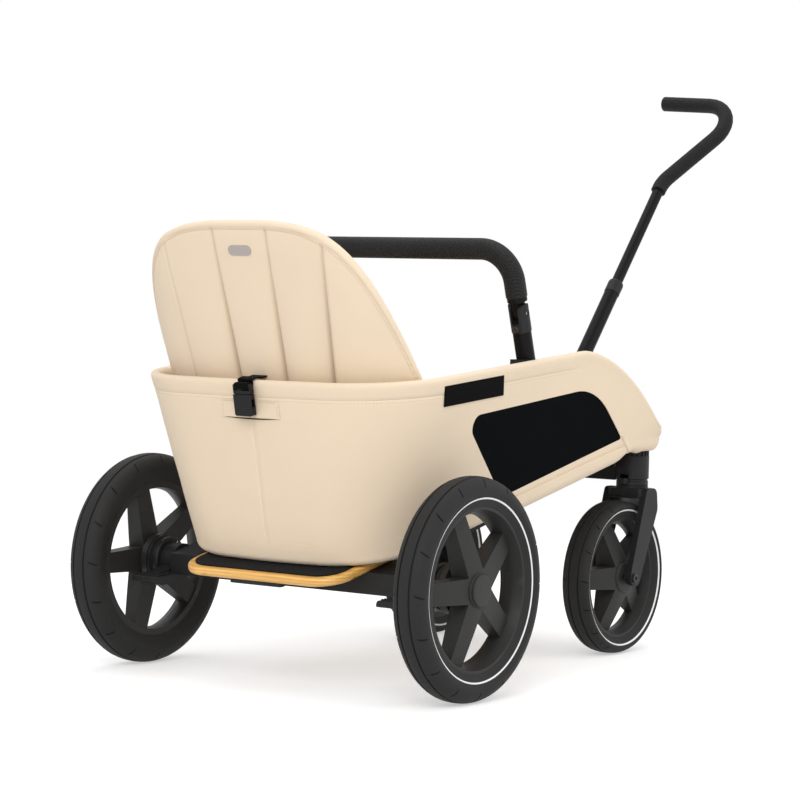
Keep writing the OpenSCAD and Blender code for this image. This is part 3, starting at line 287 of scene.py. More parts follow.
def bare_tree(owner):
    owner.use_nodes = True
    owner.node_tree.nodes.clear()
    return owner.node_tree


def new_material(name, roughness, **sockets):
    """A material, its tree and its shader's sockets, with the plain values set on them."""
    made = bpy.data.materials.new(name)
    tree = bare_tree(made)
    shader = node(tree, "ShaderNodeBsdfPrincipled", Roughness=roughness, **sockets)
    node(tree, "ShaderNodeOutputMaterial", Surface=shader.outputs["BSDF"])
    return made, tree, shader.inputs


def rgba(colour, gain=1.0):
    return (*(min(1.0, c * gain) for c in colour), 1.0)


def bump(tree, shader, height, strength, distance):
    made = node(tree, "ShaderNodeBump", Strength=strength, Distance=distance, Height=height)
    put(tree, shader["Normal"], made.outputs["Normal"])


# Finishes


def fabric_material():
    """Sand-coloured woven cloth with a soft sheen, and painted shade in the backrest's channels and seams."""
    made, tree, shader = new_material(
        "sand_cloth", 0.86, Sheen_Weight=0.18, Sheen_Roughness=0.55, Specular_IOR_Level=0.25
    )
    flat = node(tree, "ShaderNodeUVMap", uv_map="cloth").outputs["UV"]
    fold = node(tree, "ShaderNodeAttribute", attribute_name="fold").outputs["Fac"]
    weave = effect(tree, "Weave", Vector=flat, Threads=1100.0)
    patches = effect(tree, "Mottle", Colour=rgba(colours().fabric), Amount=0.10, Scale=5.0)
    threads = blend_colours(tree, weave["Mask"], patches["Colour"], (0.93, 0.915, 0.90, 1), "MULTIPLY")
    # Painted shade: the cloth is darkened towards the seam colour where the backrest's sewn channels and edge
    # seam lie.
    put(tree, shader["Base Color"], blend_colours(tree, fold, threads, rgba(colours().seam, 0.8)))
    slub = noise_at(tree, flat, 70.0, Detail=3.0)
    bump(tree, shader, math_node(tree, "MULTIPLY_ADD", slub, 0.6, weave["Height"]), 0.30, 0.0006)
    return made


def plain_cloth(name, colour, threads, roughness, sheen):
    """A dark woven cloth: mesh, patch and webbing, and the painted shadow strip under the rear welt."""
    made, tree, shader = new_material(name, roughness, Sheen_Weight=sheen, Specular_IOR_Level=0.02)
    flat = node(tree, "ShaderNodeUVMap", uv_map="cloth").outputs["UV"]
    weave = effect(tree, "Weave", Vector=flat, Threads=threads)
    patches = effect(tree, "Mottle", Colour=rgba(colour), Amount=0.25, Scale=14.0)
    gaps = blend_colours(tree, weave["Mask"], patches["Colour"], (0.55, 0.55, 0.58, 1), "MULTIPLY")
    put(tree, shader["Base Color"], gaps)
    bump(tree, shader, weave["Height"], 0.5, 0.0005)
    return made


def moulded_material(name, colour, gloss, grain=900.0, depth=0.00012, worn=2.2, **sockets):
    """Moulded plastic or coated metal with a fine grain and faintly rubbed edges."""
    sockets.setdefault("Specular_IOR_Level", 0.22)
    made, tree, shader = new_material(name, gloss, **sockets)
    texture = effect(tree, "Moulded grain", Scale=grain, Gloss=gloss, Uneven=0.16)
    patches = effect(tree, "Mottle", Colour=rgba(colour), Amount=0.22, Scale=18.0)
    edges = effect(tree, "Edge wear", Colour=patches["Colour"], Worn=rgba(colour, worn), Amount=0.7)
    put(tree, shader["Base Color"], edges["Colour"])
    put(tree, shader["Roughness"], texture["Roughness"])
    bump(tree, shader, texture["Height"], 0.35, depth)
    return made


def bare_foam(name, roughness, gloss, specular):
    """Dense foam with an uneven colour and gloss, before its bumps."""
    made, tree, shader = new_material(name, roughness, Specular_IOR_Level=specular)
    texture = effect(tree, "Moulded grain", Scale=1600.0, Gloss=gloss, Uneven=0.2)
    patches = effect(tree, "Mottle", Colour=rgba(colours().foam), Amount=0.3, Scale=30.0)
    put(tree, shader["Base Color"], patches["Colour"])
    put(tree, shader["Roughness"], texture["Roughness"])
    return made, tree, shader


def foam_material():
    """Dense pebbled foam."""
    made, tree, shader = bare_foam("pebbled_foam", 0.62, 0.60, 0.2)
    bump(tree, shader, effect(tree, "Pebble", Scale=430.0)["Height"], 1.0, 0.0012)
    return made


def knurled_material():
    """Dense foam pressed with small diamonds."""
    made, tree, shader = bare_foam("knurled_foam", 0.6, 0.56, 0.28)
    turn = 2 * math.pi / sizes().knurl
    ridges = []
    for slope in (1.0, -1.0):
        along = node(tree, "ShaderNodeVectorMath", operation="DOT_PRODUCT", Vector=own_place(tree))
        along.inputs[1].default_value = (turn, turn, slope * turn)
        ridges.append(math_node(tree, "SINE", along.outputs["Value"]))
    bump(tree, shader, math_node(tree, "MAXIMUM", *ridges), 1.0, 0.0006)
    return made


def bamboo_material():
    """Lacquered bamboo strips with long fibres and darker nodes across them."""
    made, tree, shader = new_material("lacquered_bamboo", 0.36, Coat_Weight=0.35, Coat_Roughness=0.2)
    place = own_place(tree)
    along = node(tree, "ShaderNodeMapping", Vector=place, Scale=(16.0, 16.0, 900.0)).outputs["Vector"]
    fibres = noise_at(tree, along, 1.0, Detail=5.0, Roughness=0.65)
    strips = node(
        tree, "ShaderNodeTexWave", bands_direction="Z", Vector=place, Scale=70.0, Distortion=0.3
    )
    knots = ramp_value(tree, noise_at(tree, place, 26.0, Detail=2.0), 0.62, 0.74, 0.0, 0.32)
    shade = math_node(tree, "MULTIPLY_ADD", strips.outputs["Fac"], 0.16, fibres)
    ramp = node(tree, "ShaderNodeValToRGB", Fac=math_node(tree, "SUBTRACT", shade, knots))
    tones = ((0.30, (0.62, 0.52, 0.42)), (0.72, (1.12, 1.22, 1.45)))
    for stop, (position, gains) in zip(ramp.color_ramp.elements, tones):
        stop.position = position
        stop.color = rgba([c * gain for c, gain in zip(colours().bamboo, gains)])
    put(tree, shader["Base Color"], ramp.outputs["Color"])
    bump(tree, shader, fibres, 0.12, 0.0003)
    return made


def thread_material():
    """Twisted sewing thread."""
    made, tree, shader = new_material("sewing_thread", 0.8, Sheen_Weight=0.2)
    patches = effect(tree, "Mottle", Colour=rgba(colours().seam), Amount=0.4, Scale=220.0)
    put(tree, shader["Base Color"], patches["Colour"])
    bump(tree, shader, noise_at(tree, own_place(tree), 2500.0), 0.4, 0.0002)
    return made


MATERIALS = {}
ZINC = (0.46, 0.46, 0.47)


def finish(name):
    """One of the wagon's finishes, made when it is first asked for."""
    c = colours()
    makers = {
        "sand_fabric": fabric_material,
        "thread": thread_material,
        "bamboo": bamboo_material,
        "foam": foam_material,
        "knurled_foam": knurled_material,
        "black_mesh": lambda: plain_cloth("window_mesh", c.mesh, 520.0, 0.75, 0.0),
        "black_patch": lambda: plain_cloth("woven_patch", c.webbing, 900.0, 0.7, 0.01),
        "webbing": lambda: plain_cloth("woven_strap", c.webbing, 420.0, 0.5, 0.01),
        # The seam colour made much darker: the painted shadow under the rear welt.
        "painted_gap_shadow": lambda: plain_cloth("welt_shadow_strip", rgba(c.seam, 0.16)[:3], 900.0, 0.9, 0.0),
        "frame_black": lambda: moulded_material("moulded_black", c.plastic, 0.48),
        "frame_metal": lambda: moulded_material(
            "coated_tube", c.tube, 0.36, 1500.0, 0.00006, Specular_IOR_Level=0.11
        ),
        "wheel_plastic": lambda: moulded_material("wheel_plastic", c.wheel, 0.50, 700.0, 0.00016),
        "cap_grey": lambda: moulded_material("cap_plastic", rgba(c.wheel, 1.15)[:3], 0.42, 900.0),
        "tyre_rubber": lambda: moulded_material("tyre_rubber", c.rubber, 0.66, 520.0, 0.0002, 1.5),
        "grip_rubber": lambda: moulded_material("deck_grip", c.tube, 0.88, 900.0, 0.0012, 1.2),
        "buckle_black": lambda: moulded_material("buckle_plastic", c.tube, 0.30, 1200.0, 0.00004),
        "stripe_white": lambda: moulded_material("reflective_stripe", c.stripe, 0.35, 1600.0, 0.00006, 1.0),
        "badge_grey": lambda: moulded_material("badge_film", c.badge, 0.42, 1400.0, 0.00005, 1.1),
        "steel": lambda: moulded_material("zinc_steel", ZINC, 0.32, 1500.0, 0.00005, 1.3, Metallic=1.0),
    }
    if name not in MATERIALS:
        MATERIALS[name] = makers[name]()
    return MATERIALS[name]


# Mesh helpers

FACE_OUT = (bpy.ops.mesh.normals_make_consistent, {"inside": False})
CLOTH_FRAMES, CLOTH_QUALITY, CLOTH_PRESSURE = 20, 5, 4.0
STITCH_FORM = ((0.0, -0.6), (0.25, 0.7), (0.75, 0.7), (1.0, -0.6))
COVERED = set()


def deselect():
    if bpy.context.object and bpy.context.object.mode != "OBJECT":
        bpy.ops.object.mode_set(mode="OBJECT")
    bpy.ops.object.select_all(action="DESELECT")


def make_active(piece):
    deselect()
    piece.select_set(True)
    bpy.context.view_layer.objects.active = piece


def edit_all(piece, *steps):
    """Runs edit-mode operators on the whole mesh of a piece."""
    make_active(piece)
    bpy.ops.object.mode_set(mode="EDIT")
    bpy.ops.mesh.select_all(action="SELECT")
    for operator, values in steps:
        operator(**values)
    bpy.ops.object.mode_set(mode="OBJECT")


def tidy_mesh(piece, distance=0.00001):
    edit_all(piece, (bpy.ops.mesh.remove_doubles, {"threshold": distance}), FACE_OUT)


def apply_modifier(piece, kind, **values):
    make_active(piece)
    made = piece.modifiers.new(kind.lower(), kind)
    for key, value in values.items():
        setattr(made, key, value)
    bpy.ops.object.modifier_apply(modifier=made.name)


def soften(piece, angle):
    make_active(piece)
    bpy.ops.object.shade_smooth_by_angle(angle=math.radians(angle))


def cut(piece, cutter, operation="DIFFERENCE"):
    """Cuts a piece with a cutter, which is then removed."""
    apply_modifier(piece, "BOOLEAN", object=cutter, operation=operation, solver="EXACT")
    bpy.data.objects.remove(cutter, do_unlink=True)


def add_block(name, size, place, lean=0.0):
    """A block of a size at a place, leant towards the rear."""
    deselect()
    bpy.ops.mesh.primitive_cube_add(size=1.0, location=place, rotation=(0, -lean, 0))
    block = bpy.context.object
    block.name = name
    block.scale = size
    bpy.ops.object.transform_apply(location=True, rotation=True, scale=True)
    return block


def from_faces(name, points, faces, flat=None, folds=None):
    """A piece from points and faces, with a flat map in metres and the painted shade of its folds for its
    cloth.
    """
    shape = bpy.data.meshes.new(name)
    shape.from_pydata([tuple(p) for p in points], [], faces)
    piece = bpy.data.objects.new(name, shape)
    bpy.context.scene.collection.objects.link(piece)
    if flat is not None:
        layer = shape.uv_layers.new(name="cloth")
        for spot, place in zip(layer.data, (place for places in flat for place in places)):
            spot.uv = place
    if folds is not None:
        # Painted shade, kept per point for the cloth's colour.
        shape.attributes.new("fold", "FLOAT", "POINT").data.foreach_set("value", folds)
    return piece


def steps_along(points):
    """Running length along a row of points."""
    total = [0.0]
    for a, b in zip(points, points[1:]):
        total.append(total[-1] + (b - a).length)
    return total


def grid_faces(rows, closed=False, base=0):
    """Quads over rows of equal length, and their flat map by length along the row and across the rows."""
    count, width = len(rows), len(rows[0])
    middle = rows[count // 2]
    along = steps_along(middle + middle[:1])
    across = steps_along([row[width // 3] for row in rows])
    faces, flat = [], []
    for k in range(count - 1):
        below, above = k * width + base, (k + 1) * width + base
        v0, v1 = across[k], across[k + 1]
        for i in range(width if closed else width - 1):
            j = (i + 1) % width
            u0, u1 = along[i], along[i + 1]
            faces.append((below + i, below + j, above + j, above + i))
            flat.append(((u0, v0), (u1, v0), (u1, v1), (u0, v1)))
    return faces, flat


def flatten(rows):
    return [p for row in rows for p in row]


def thin_sheet(name, rows, thickness):
    """A sheet of even thickness over rows of points."""
    piece = from_faces(name, flatten(rows), *grid_faces(rows))
    apply_modifier(piece, "SOLIDIFY", thickness=thickness, offset=0.0)
    tidy_mesh(piece)
    return piece


def settle(piece, body, slot, material=None, replaced=(), angle=40.0):
    """Gives a finished piece its material and its place on a body of the frame."""
    piece.data.materials.clear()
    piece.data.materials.append(finish(material or slot))
    soften(piece, angle)
    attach(piece, body)
    if replaced:
        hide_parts(*replaced)
        COVERED.update(replaced)


def inflate(piece, pinned, swell):
    """Fills a sewn shell: cloth under pressure, held at its pinned points, and kept within a limit."""
    start = [v.co.copy() for v in piece.data.vertices]
    held = piece.vertex_groups.new(name="sewn")
    held.add([i for i, p in enumerate(start) if pinned(p)], 1.0, "REPLACE")
    make_active(piece)
    cloth = piece.modifiers.new("filling", "CLOTH")
    cloth.settings.quality = CLOTH_QUALITY
    cloth.settings.vertex_group_mass = "sewn"
    cloth.settings.use_pressure = True
    cloth.settings.uniform_pressure_force = CLOTH_PRESSURE
    cloth.settings.effector_weights.gravity = 0.0
    cloth.collision_settings.use_collision = False
    cloth.point_cache.frame_start = 1
    cloth.point_cache.frame_end = CLOTH_FRAMES
    for step in range(1, CLOTH_FRAMES + 1):
        bpy.context.scene.frame_set(step)
    bpy.ops.object.modifier_apply(modifier=cloth.name)
    bpy.context.scene.frame_set(1)
    for vertex, rest in zip(piece.data.vertices, start):
        moved = vertex.co - rest
        if moved.length > swell:
            vertex.co = rest + moved * (swell / moved.length)
    piece.vertex_groups.clear()


def stitch_row(name, places, outs, body, slot="sand_fabric", material="thread"):
    """A row of stitches along a line of places on a surface, with the direction out of it at each."""
    s = sizes()
    total = steps_along(places)
    points, faces = [], []
    at = s.stitch_gap

    def place_at(length):
        i = max(k for k in range(len(total)) if total[k] <= length)
        i = min(i, len(places) - 2)
        t = (length - total[i]) / max(1e-9, total[i + 1] - total[i])
        return places[i].lerp(places[i + 1], t), outs[i].lerp(outs[i + 1], t).normalized()

    while at + s.stitch < total[-1]:
        (a, out), (b, _) = place_at(at), place_at(at + s.stitch)
        side = (b - a).normalized().cross(out) * s.thread
        base = len(points)
        for share, lift in STITCH_FORM:
            p = a.lerp(b, share) + out * (s.thread * lift)
            points.extend((p - side, p + out * s.thread * 0.8, p + side))
        for c in range(base, base + 9, 3):
            faces.extend(((c, c + 3, c + 4, c + 1), (c + 1, c + 4, c + 5, c + 2), (c + 2, c + 5, c + 3, c)))
        faces.extend(((base, base + 1, base + 2), (base + 11, base + 10, base + 9)))
        at += s.stitch + s.stitch_gap
    piece = from_faces(name, points, faces)
    edit_all(piece, FACE_OUT)
    settle(piece, body, slot, material, angle=80.0)


# Tub: in millimetres from the ground under the rear axle

FLOOR_X, RIM_REAR_X, NOSE_LOW_X, NOSE_RIM_X = -73.0, -127.0, 658.0, 643.0
FLOOR_Z, FLOOR_SLOPE, NOSE_FLOOR_Z = 171.0, 0.22, 318.0
RIM_REAR_Z, RIM_TOP_Z, RIM_FRONT_Z, RIM_FALL_Z, RIM_EASE = 425.0, 466.0, 348.0, 250.0, 7.0
RIM_PEAK_X, RIM_DROP_X, RIM_POWER = 385.0, 660.0, 1.7
LOW_REAR_HALF, LOW_FRONT_HALF, RIM_REAR_HALF, RIM_FRONT_HALF = 195.0, 205.0, 240.0, 215.0
REAR_CORNER, FRONT_CORNER, NOSE_BULGE, REAR_BOW = 120.0, 38.0, 5.0, 3.0
NOSE_DIP, NOSE_DIP_HALF = 63.0, 82.0
WALL, FLOOR_T, FOOT = 14.0, 12.0, 12.0
RIM_BAND, RIM_BAND_END, RIM_SEAM, RIM_SEAM_X, HEM = 24.0, 33.0, 1.6, 400.0, 7.0
STRIP_RISE, STRIP_X, NOSE_SEAM_X = 7.0, 182.0, 541.0
BAND_WALL, STRIP_WALL, STRIP_POWER = 70.0, 140.0, 1.2
WINDOW = ((66, 377.5, 17), (422, 412, 134), (517, 332, 3), (199, 260, 10))
WINDOW_MIDDLE, WINDOW_STRETCH = (290.0, 350.0), 1.02
SOCKET_X, SOCKET_Y, SOCKET_HALF_X, SOCKET_HALF_Y, SOCKET_DEEP = 246.0, 206.0, 19.3, 14.8, 28.3
PATCH_DROP, PATCH_TALL, PATCH_SLANT = 12.0, 29.0, 0.007
LAP_FORM = ((-0.4, 0.0), (1.5, 0.4), (1.7, 4.0), (1.2, 9.0), (-0.3, 15.0))
PLAN_STEPS = {"rear": 10, "corner": 18, "side": 60, "front_corner": 12, "front": 26}


def under_z(x):
    return min(FLOOR_Z + FLOOR_SLOPE * (x - FLOOR_X), NOSE_FLOOR_Z)


def rim_z(x):
    if x < RIM_PEAK_X:
        return mix(RIM_REAR_Z, RIM_TOP_Z, (x - RIM_REAR_X) / (RIM_PEAK_X - RIM_REAR_X))
    u = min(1.0, (x - RIM_PEAK_X) / (RIM_DROP_X - RIM_PEAK_X))
    fall = RIM_FALL_Z + (RIM_TOP_Z - RIM_FALL_Z) * (1 - u**RIM_POWER) ** (1 / RIM_POWER)
    return RIM_FRONT_Z + RIM_EASE * math.log1p(math.exp((fall - RIM_FRONT_Z) / RIM_EASE))


def nose_dip(y):
    return NOSE_DIP * math.cos(math.pi / 2 * y / NOSE_DIP_HALF) ** 2 if abs(y) < NOSE_DIP_HALF else 0.0


def plan_shares():
    """Where each column of the tub's right half lies: which stretch of the plan, and how far along it."""
    shares = [("rear", y) for y in (0.0, 0.012, 0.024)]
    for stretch, steps in PLAN_STEPS.items():
        shares += [(stretch, i / steps) for i in range(1, steps + 1)]
    return shares


SHARES = plan_shares()
WALL_SHARES = [share for share in SHARES if share[0] in ("corner", "side")]
FAN_TURN = len(SHARES) - PLAN_STEPS["front"] - PLAN_STEPS["front_corner"] - 9


def plan_point(share, t, off):
    """A place of the right half of the tub's plan, at a share of its height and a distance outwards."""
    stretch, s = share
    rear_x = mix(FLOOR_X, RIM_REAR_X, t) - off
    front_x = mix(NOSE_LOW_X, NOSE_RIM_X, t) + NOSE_BULGE * 4 * t * (1 - t) + off
    rear_half = mix(LOW_REAR_HALF, RIM_REAR_HALF, t) + off
    front_half = mix(LOW_FRONT_HALF, RIM_FRONT_HALF, t) + off
    rear_r, front_r = REAR_CORNER + off, FRONT_CORNER + off
    if stretch == "rear":
        return rear_x - REAR_BOW * (1 - s * s), -(rear_half - rear_r) * s
    if stretch == "corner":
        a = math.pi * (1 + s / 2)
        return rear_x + rear_r * (1 + math.cos(a)), -(rear_half - rear_r) + rear_r * math.sin(a)
    if stretch == "side":
        return mix(rear_x + rear_r, front_x - front_r, s), -mix(rear_half, front_half, s)
    if stretch == "front_corner":
        a = math.pi * (1.5 + s / 2)
        y = -(front_half - front_r) + front_r * math.sin(a)
        return front_x - front_r * (1 - math.cos(a)) - nose_dip(y), y
    y = -(front_half - front_r) * (1 - s)
    return front_x - nose_dip(y), y


def level_x(share, place):
    """Where along the wagon the rim's height is read, as if the front had no notch."""
    return place[0] + nose_dip(place[1]) if share[0].startswith("front") else place[0]


def hem_drop(x, y):
    """How far the hem hangs below the floor along the sides and the nose."""
    side = smooth((x - 170) / 40) * smooth((548 - x) / 30)
    nose = 1.3 * smooth((x - 556) / 30) * smooth((abs(y) - 95) / 40)
    return HEM * (side + nose)


def tub_ring(off, level=0.0, lift=FOOT, drop=None, rise=None, draw=None, hem=0.0):
    """One ring round the tub: a share of the wall, a drop below the rim, or a rise above the foot."""
    half = []
    for share in SHARES:
        guess = level_x(share, plan_point(share, 1.0, off))
        tall = rim_z(guess) - under_z(guess) - lift
        band = (RIM_BAND_END if drop is None else drop) * min(1.0, tall / BAND_WALL)
        t = 1 - band / tall
        if rise is not None:
            t = rise * min(1.0, tall / STRIP_WALL) ** STRIP_POWER / tall
        elif drop is None:
            t *= level
        x, y = plan_point(share, t, off)
        ahead = level_x(share, (x, y))
        z = mix(under_z(ahead) + lift, rim_z(ahead), t) - hem * hem_drop(x, y)
        inwards = draw(share, x, z, t) if draw else 0.0
        if inwards:
            x, y = plan_point(share, t, off - inwards)
        half.append((x, y, z))
    return half + [(x, -y, z) for x, y, z in half[-2:0:-1]]


def seam_draw(share, x, z, t):
    """How far the ripples and the middle seam draw the outer wall in, in millimetres."""
    ripple = 0.55 * noise.noise(Vector((x * 0.013, z * 0.016, 3.0 if share[0] == "rear" else 7.0)))
    ripple += 0.35 * noise.noise(Vector((x * 0.035, z * 0.03, 1.0)))
    drawn = ripple * smooth(t / 0.2) * smooth((0.9 - t) / 0.2)
    if share[0] == "rear" and share[1] < 0.02 and t < 0.78:
        drawn += sizes().seam_depth / MM * (1.0 if share[1] == 0.0 else 0.35)
    return drawn


def strip_draw(depth):
    """How far the seam under the windows draws the side walls in."""
    def draw(share, x, z, t):
        fade = smooth((x - 150) / 40) * smooth((NOSE_SEAM_X - x) / 12)
        return depth * fade if share[0] == "side" else 0.0
    return draw


def band_draw(off):
    """How far the rim's band stands out, fading where its seam ends."""
    def draw(share, x, z, t):
        return -off * smooth((RIM_SEAM_X - x) / 90)
    return draw


def tub_rows():
    """Rings of the tub from its underside up the outer wall, over the rim and down to the floor inside."""
    seam = sizes().seam_depth / MM
    turns = [math.radians(a) for a in range(0, 91, 15)]
    rows = [tub_ring(off, lift=0.0, hem=hem) for off, hem in ((-20, 0.0), (-17, 0.5), (-14.5, 0.95))]
    for a in turns:
        rows.append(tub_ring(-FOOT * (1 - math.sin(a)), lift=FOOT * (1 - math.cos(a)), hem=math.cos(a)))
    for beside, depth in ((-RIM_SEAM, 0.0), (0.0, seam), (RIM_SEAM, 0.0)):
        rows.append(tub_ring(0.0, rise=STRIP_RISE + beside, draw=strip_draw(depth)))
    rows += [tub_ring(0.0, i / 24, draw=seam_draw) for i in range(3, 24)]
    rows.append(tub_ring(0.0, drop=RIM_BAND_END, draw=seam_draw))
    under = ((RIM_BAND + RIM_SEAM, 0.0), (RIM_BAND, -seam / 2), (RIM_BAND - RIM_SEAM, 0.3))
    under += ((19, 0.6), (14, 0.8))
    rows += [tub_ring(0.0, drop=drop, draw=band_draw(off)) for drop, off in under]
    over = ((9, 0.8), (5, 0.4), (2.4, -0.8), (0.8, -2.6), (0, -5), (-0.2, -7), (0, -9), (0.8, -11.6))
    inside = ((2.4, -13.4), (5, -14.4), (9, -15), (16, -15), (24, -14.6))
    rows += [tub_ring(off, drop=drop) for drop, off in over + inside]
    rows += [tub_ring(-WALL, t, FLOOR_T + FOOT) for t in (0.9, 0.75, 0.6, 0.45, 0.3, 0.15, 0.0)]
    for a in turns[1:]:
        rows.append(tub_ring(-WALL - FOOT * (1 - math.cos(a)), lift=FLOOR_T + FOOT * (1 - math.sin(a))))
    return rows


def cap_faces(ring_start, count, middle, flipped):
    """Closes a ring by strips across, and by a fan where the front curves in."""
    faces = [(1, 0, count - 1)]
    for i in range(1, FAN_TURN):
        faces.append((i, count - i, count - i - 1, i + 1))
    faces[-1] = faces[-1][:3] + (middle,) + faces[-1][3:]
    faces += [(middle, q + 1, q) for q in range(FAN_TURN, count - FAN_TURN)]
    placed = [tuple(v if v == middle else v + ring_start for v in f) for f in faces]
    return [tuple(reversed(f)) for f in placed] if flipped else placed


def rounded_outline(corners, grow=0.0, steps=8):
    """A polygon with its corners rounded, in the side plane, drawn in towards its middle by a margin."""
    middle = Vector(WINDOW_MIDDLE)
    outline = []
    spots = [Vector(c[:2]) for c in corners]
    spots = [p + (middle - p).normalized() * -grow for p in spots]
    for i, p in enumerate(spots):
        r = corners[i][2]
        u = (spots[i - 1] - p).normalized()
        v = (spots[(i + 1) % len(spots)] - p).normalized()
        half = u.angle(v) / 2
        centre = p + (u + v).normalized() * (r / math.sin(half))
        a, b = p + u * (r / math.tan(half)) - centre, p + v * (r / math.tan(half)) - centre
        turn = a.angle_signed(b)
        for k in range(steps + 1):
            angle = -turn * k / steps
            c, s = math.cos(angle), math.sin(angle)
            outline.append(centre + Vector((a.x * c - a.y * s, a.x * s + a.y * c)))
    return outline


def prism(name, outline, low, high):
    """A cutter: an outline in the side plane, carried across the wagon."""
    count = len(outline)
    points = [row_point(p.x, y, p.y) for y in (low, high) for p in outline]
    faces = [tuple(range(count)), tuple(range(2 * count - 1, count - 1, -1))]
    faces += [(i, i + count, (i + 1) % count + count, (i + 1) % count) for i in range(count)]
    piece = from_faces(name, points, faces)
    edit_all(piece, FACE_OUT)
    return piece


def make_tub():
    """The sewn tub with its rolled rim, cut for the windows and the bar's sockets."""
    rows = [[row_point(*p) for p in ring] for ring in tub_rows()]
    width = len(rows[0])
    faces, flat = grid_faces(rows, closed=True)
    points = flatten(rows)
    for start, flipped in ((0, False), ((len(rows) - 1) * width, True)):
        ring = points[start:start + width]
        points.append((ring[FAN_TURN] + ring[width - FAN_TURN]) / 2)
        cap = cap_faces(start, width, len(points) - 1, flipped)
        faces += cap
        flat += [[(points[v].x, points[v].y) for v in face] for face in cap]
    tub = from_faces("fabric_tub", points, faces, flat)
    tidy_mesh(tub)
    cut(tub, prism("window_cutter", rounded_outline(WINDOW), -300, 300))
    left, right = SOCKET_X - SOCKET_HALF_X, SOCKET_X + SOCKET_HALF_X
    low, high = rim_z(SOCKET_X) - SOCKET_DEEP, rim_z(SOCKET_X) + 60
    corners = [Vector(c) for c in ((left, low), (right, low), (right, high), (left, high))]
    for side in SIDES.values():
        y = side * SOCKET_Y
        cut(tub, prism("socket_cutter", corners, y - SOCKET_HALF_Y, y + SOCKET_HALF_Y))
    settle(tub, "wagon", "sand_fabric", replaced=("tub_shell",), angle=38.0)


def line_on_tub(off, drop=None, rise=None):
    """Places and outward directions along a level line round the tub's outer wall."""
    places = [row_point(*p) for p in tub_ring(off, drop=drop, rise=rise)]
    outer = [row_point(*p) for p in tub_ring(off + 5, drop=drop, rise=rise)]
    return places, [(q - p).normalized() for p, q in zip(places, outer)]


def make_tub_stitching():
    """Stitch rows under the rim and along the strips below the windows."""
    places, outs = line_on_tub(-0.2, drop=RIM_BAND + 3.4)
    count = len(places)
    end = row_point(RIM_SEAM_X - 40, 0, 0).x
    run = [i % count for i in range(-count // 2, count // 2) if places[i % count].x < end]
    stitch_row("rim_stitching", [places[i] for i in run], [outs[i] for i in run], "wagon")
    places, outs = line_on_tub(-0.1, rise=STRIP_RISE + 4)
    low, high = row_point(STRIP_X, 0, 0).x, row_point(NOSE_SEAM_X - 8, 0, 0).x
    for name, side in SIDES.items():
        run = [side * -i % count for i in range(len(SHARES))]
        run = [i for i in run if low <= places[i].x <= high and abs(places[i].y) > 0.15]
        stitch_row(f"strip_stitching_{name}", [places[i] for i in run], [outs[i] for i in run], "wagon")


def wall_y(x, t, off):
    """Where the right wall lies at a place along the wagon, found on its plan."""
    before = None
    for share in WALL_SHARES:
        here = plan_point(share, t, off)
        if before and before[0] <= x <= here[0]:
            return mix(before[1], here[1], (x - before[0]) / (here[0] - before[0]))
        before = here
    return before[1]


def wall_share(x, z):
    """How far up the wall a height lies, from the top of its foot to its rim."""
    return (z - under_z(x) - FOOT) / (rim_z(x) - under_z(x) - FOOT)


def foot_y(x, z, off):
    """The right wall at a place, followed round the foot of the tub."""
    up = z - under_z(x)
    if up >= FOOT:
        return wall_y(x, wall_share(x, z), off)
    turn = 1 - max(0.0, up) / FOOT
    return wall_y(x, 0.0, off - FOOT * (1 - math.sqrt(max(0.0, 1 - turn * turn))))


def make_nose_seam():
    """The edge of the nose panel, which laps over the strip below each window."""
    (top_x, top_z, _), (low_x, low_z, _) = WINDOW[1], WINDOW[2]
    slope = (low_z - top_z) / (low_x - top_x)

    def place(side, off, ahead, share):
        x = mix(low_x - 3, low_x + 29, share)
        z = max(low_z + slope * (x - low_x), under_z(x) + 0.6)
        return row_point(x + ahead, -side * foot_y(x + ahead, z, off), z)

    for name, side in SIDES.items():
        rows = [[place(side, off, ahead, k / 12) for k in range(13)] for off, ahead in LAP_FORM]
        piece = thin_sheet(f"nose_lap_{name}", rows, 0.0006)
        settle(piece, "wagon", "sand_fabric")


def make_windows():
    """Black mesh stretched behind each side window."""
    outline = rounded_outline(WINDOW, grow=-0.3)

    def place(side, share, off, t):
        x, y = plan_point(share, t, off)
        return row_point(x, -side * y, mix(under_z(x) + FOOT, rim_z(x), t))

    for name, side in SIDES.items():
        loops = []
        for k in range(41):
            t = mix(0.04, 0.97, k / 40)
            outer, inner = ([place(side, share, off, t) for share in WALL_SHARES] for off in (-1.0, -1.7))
            loops.append(outer + inner[::-1])
        faces, flat = grid_faces(loops, closed=True)
        width = len(loops[0])
        last = (len(loops) - 1) * width
        for i in range(width // 2 - 1):
            ends = (i, width - 1 - i, width - 2 - i, i + 1)
            faces += [ends, tuple(last + v for v in reversed(ends))]
            flat += [[(0.0, 0.0)] * 4] * 2
        piece = from_faces(f"window_mesh_{name}", flatten(loops), faces, flat)
        edit_all(piece, FACE_OUT)
        cut(piece, prism("window_keeper", outline, min(0, side * 400), max(0, side * 400)), "INTERSECT")
        settle(piece, "wagon", "black_mesh", replaced=("side_windows",))


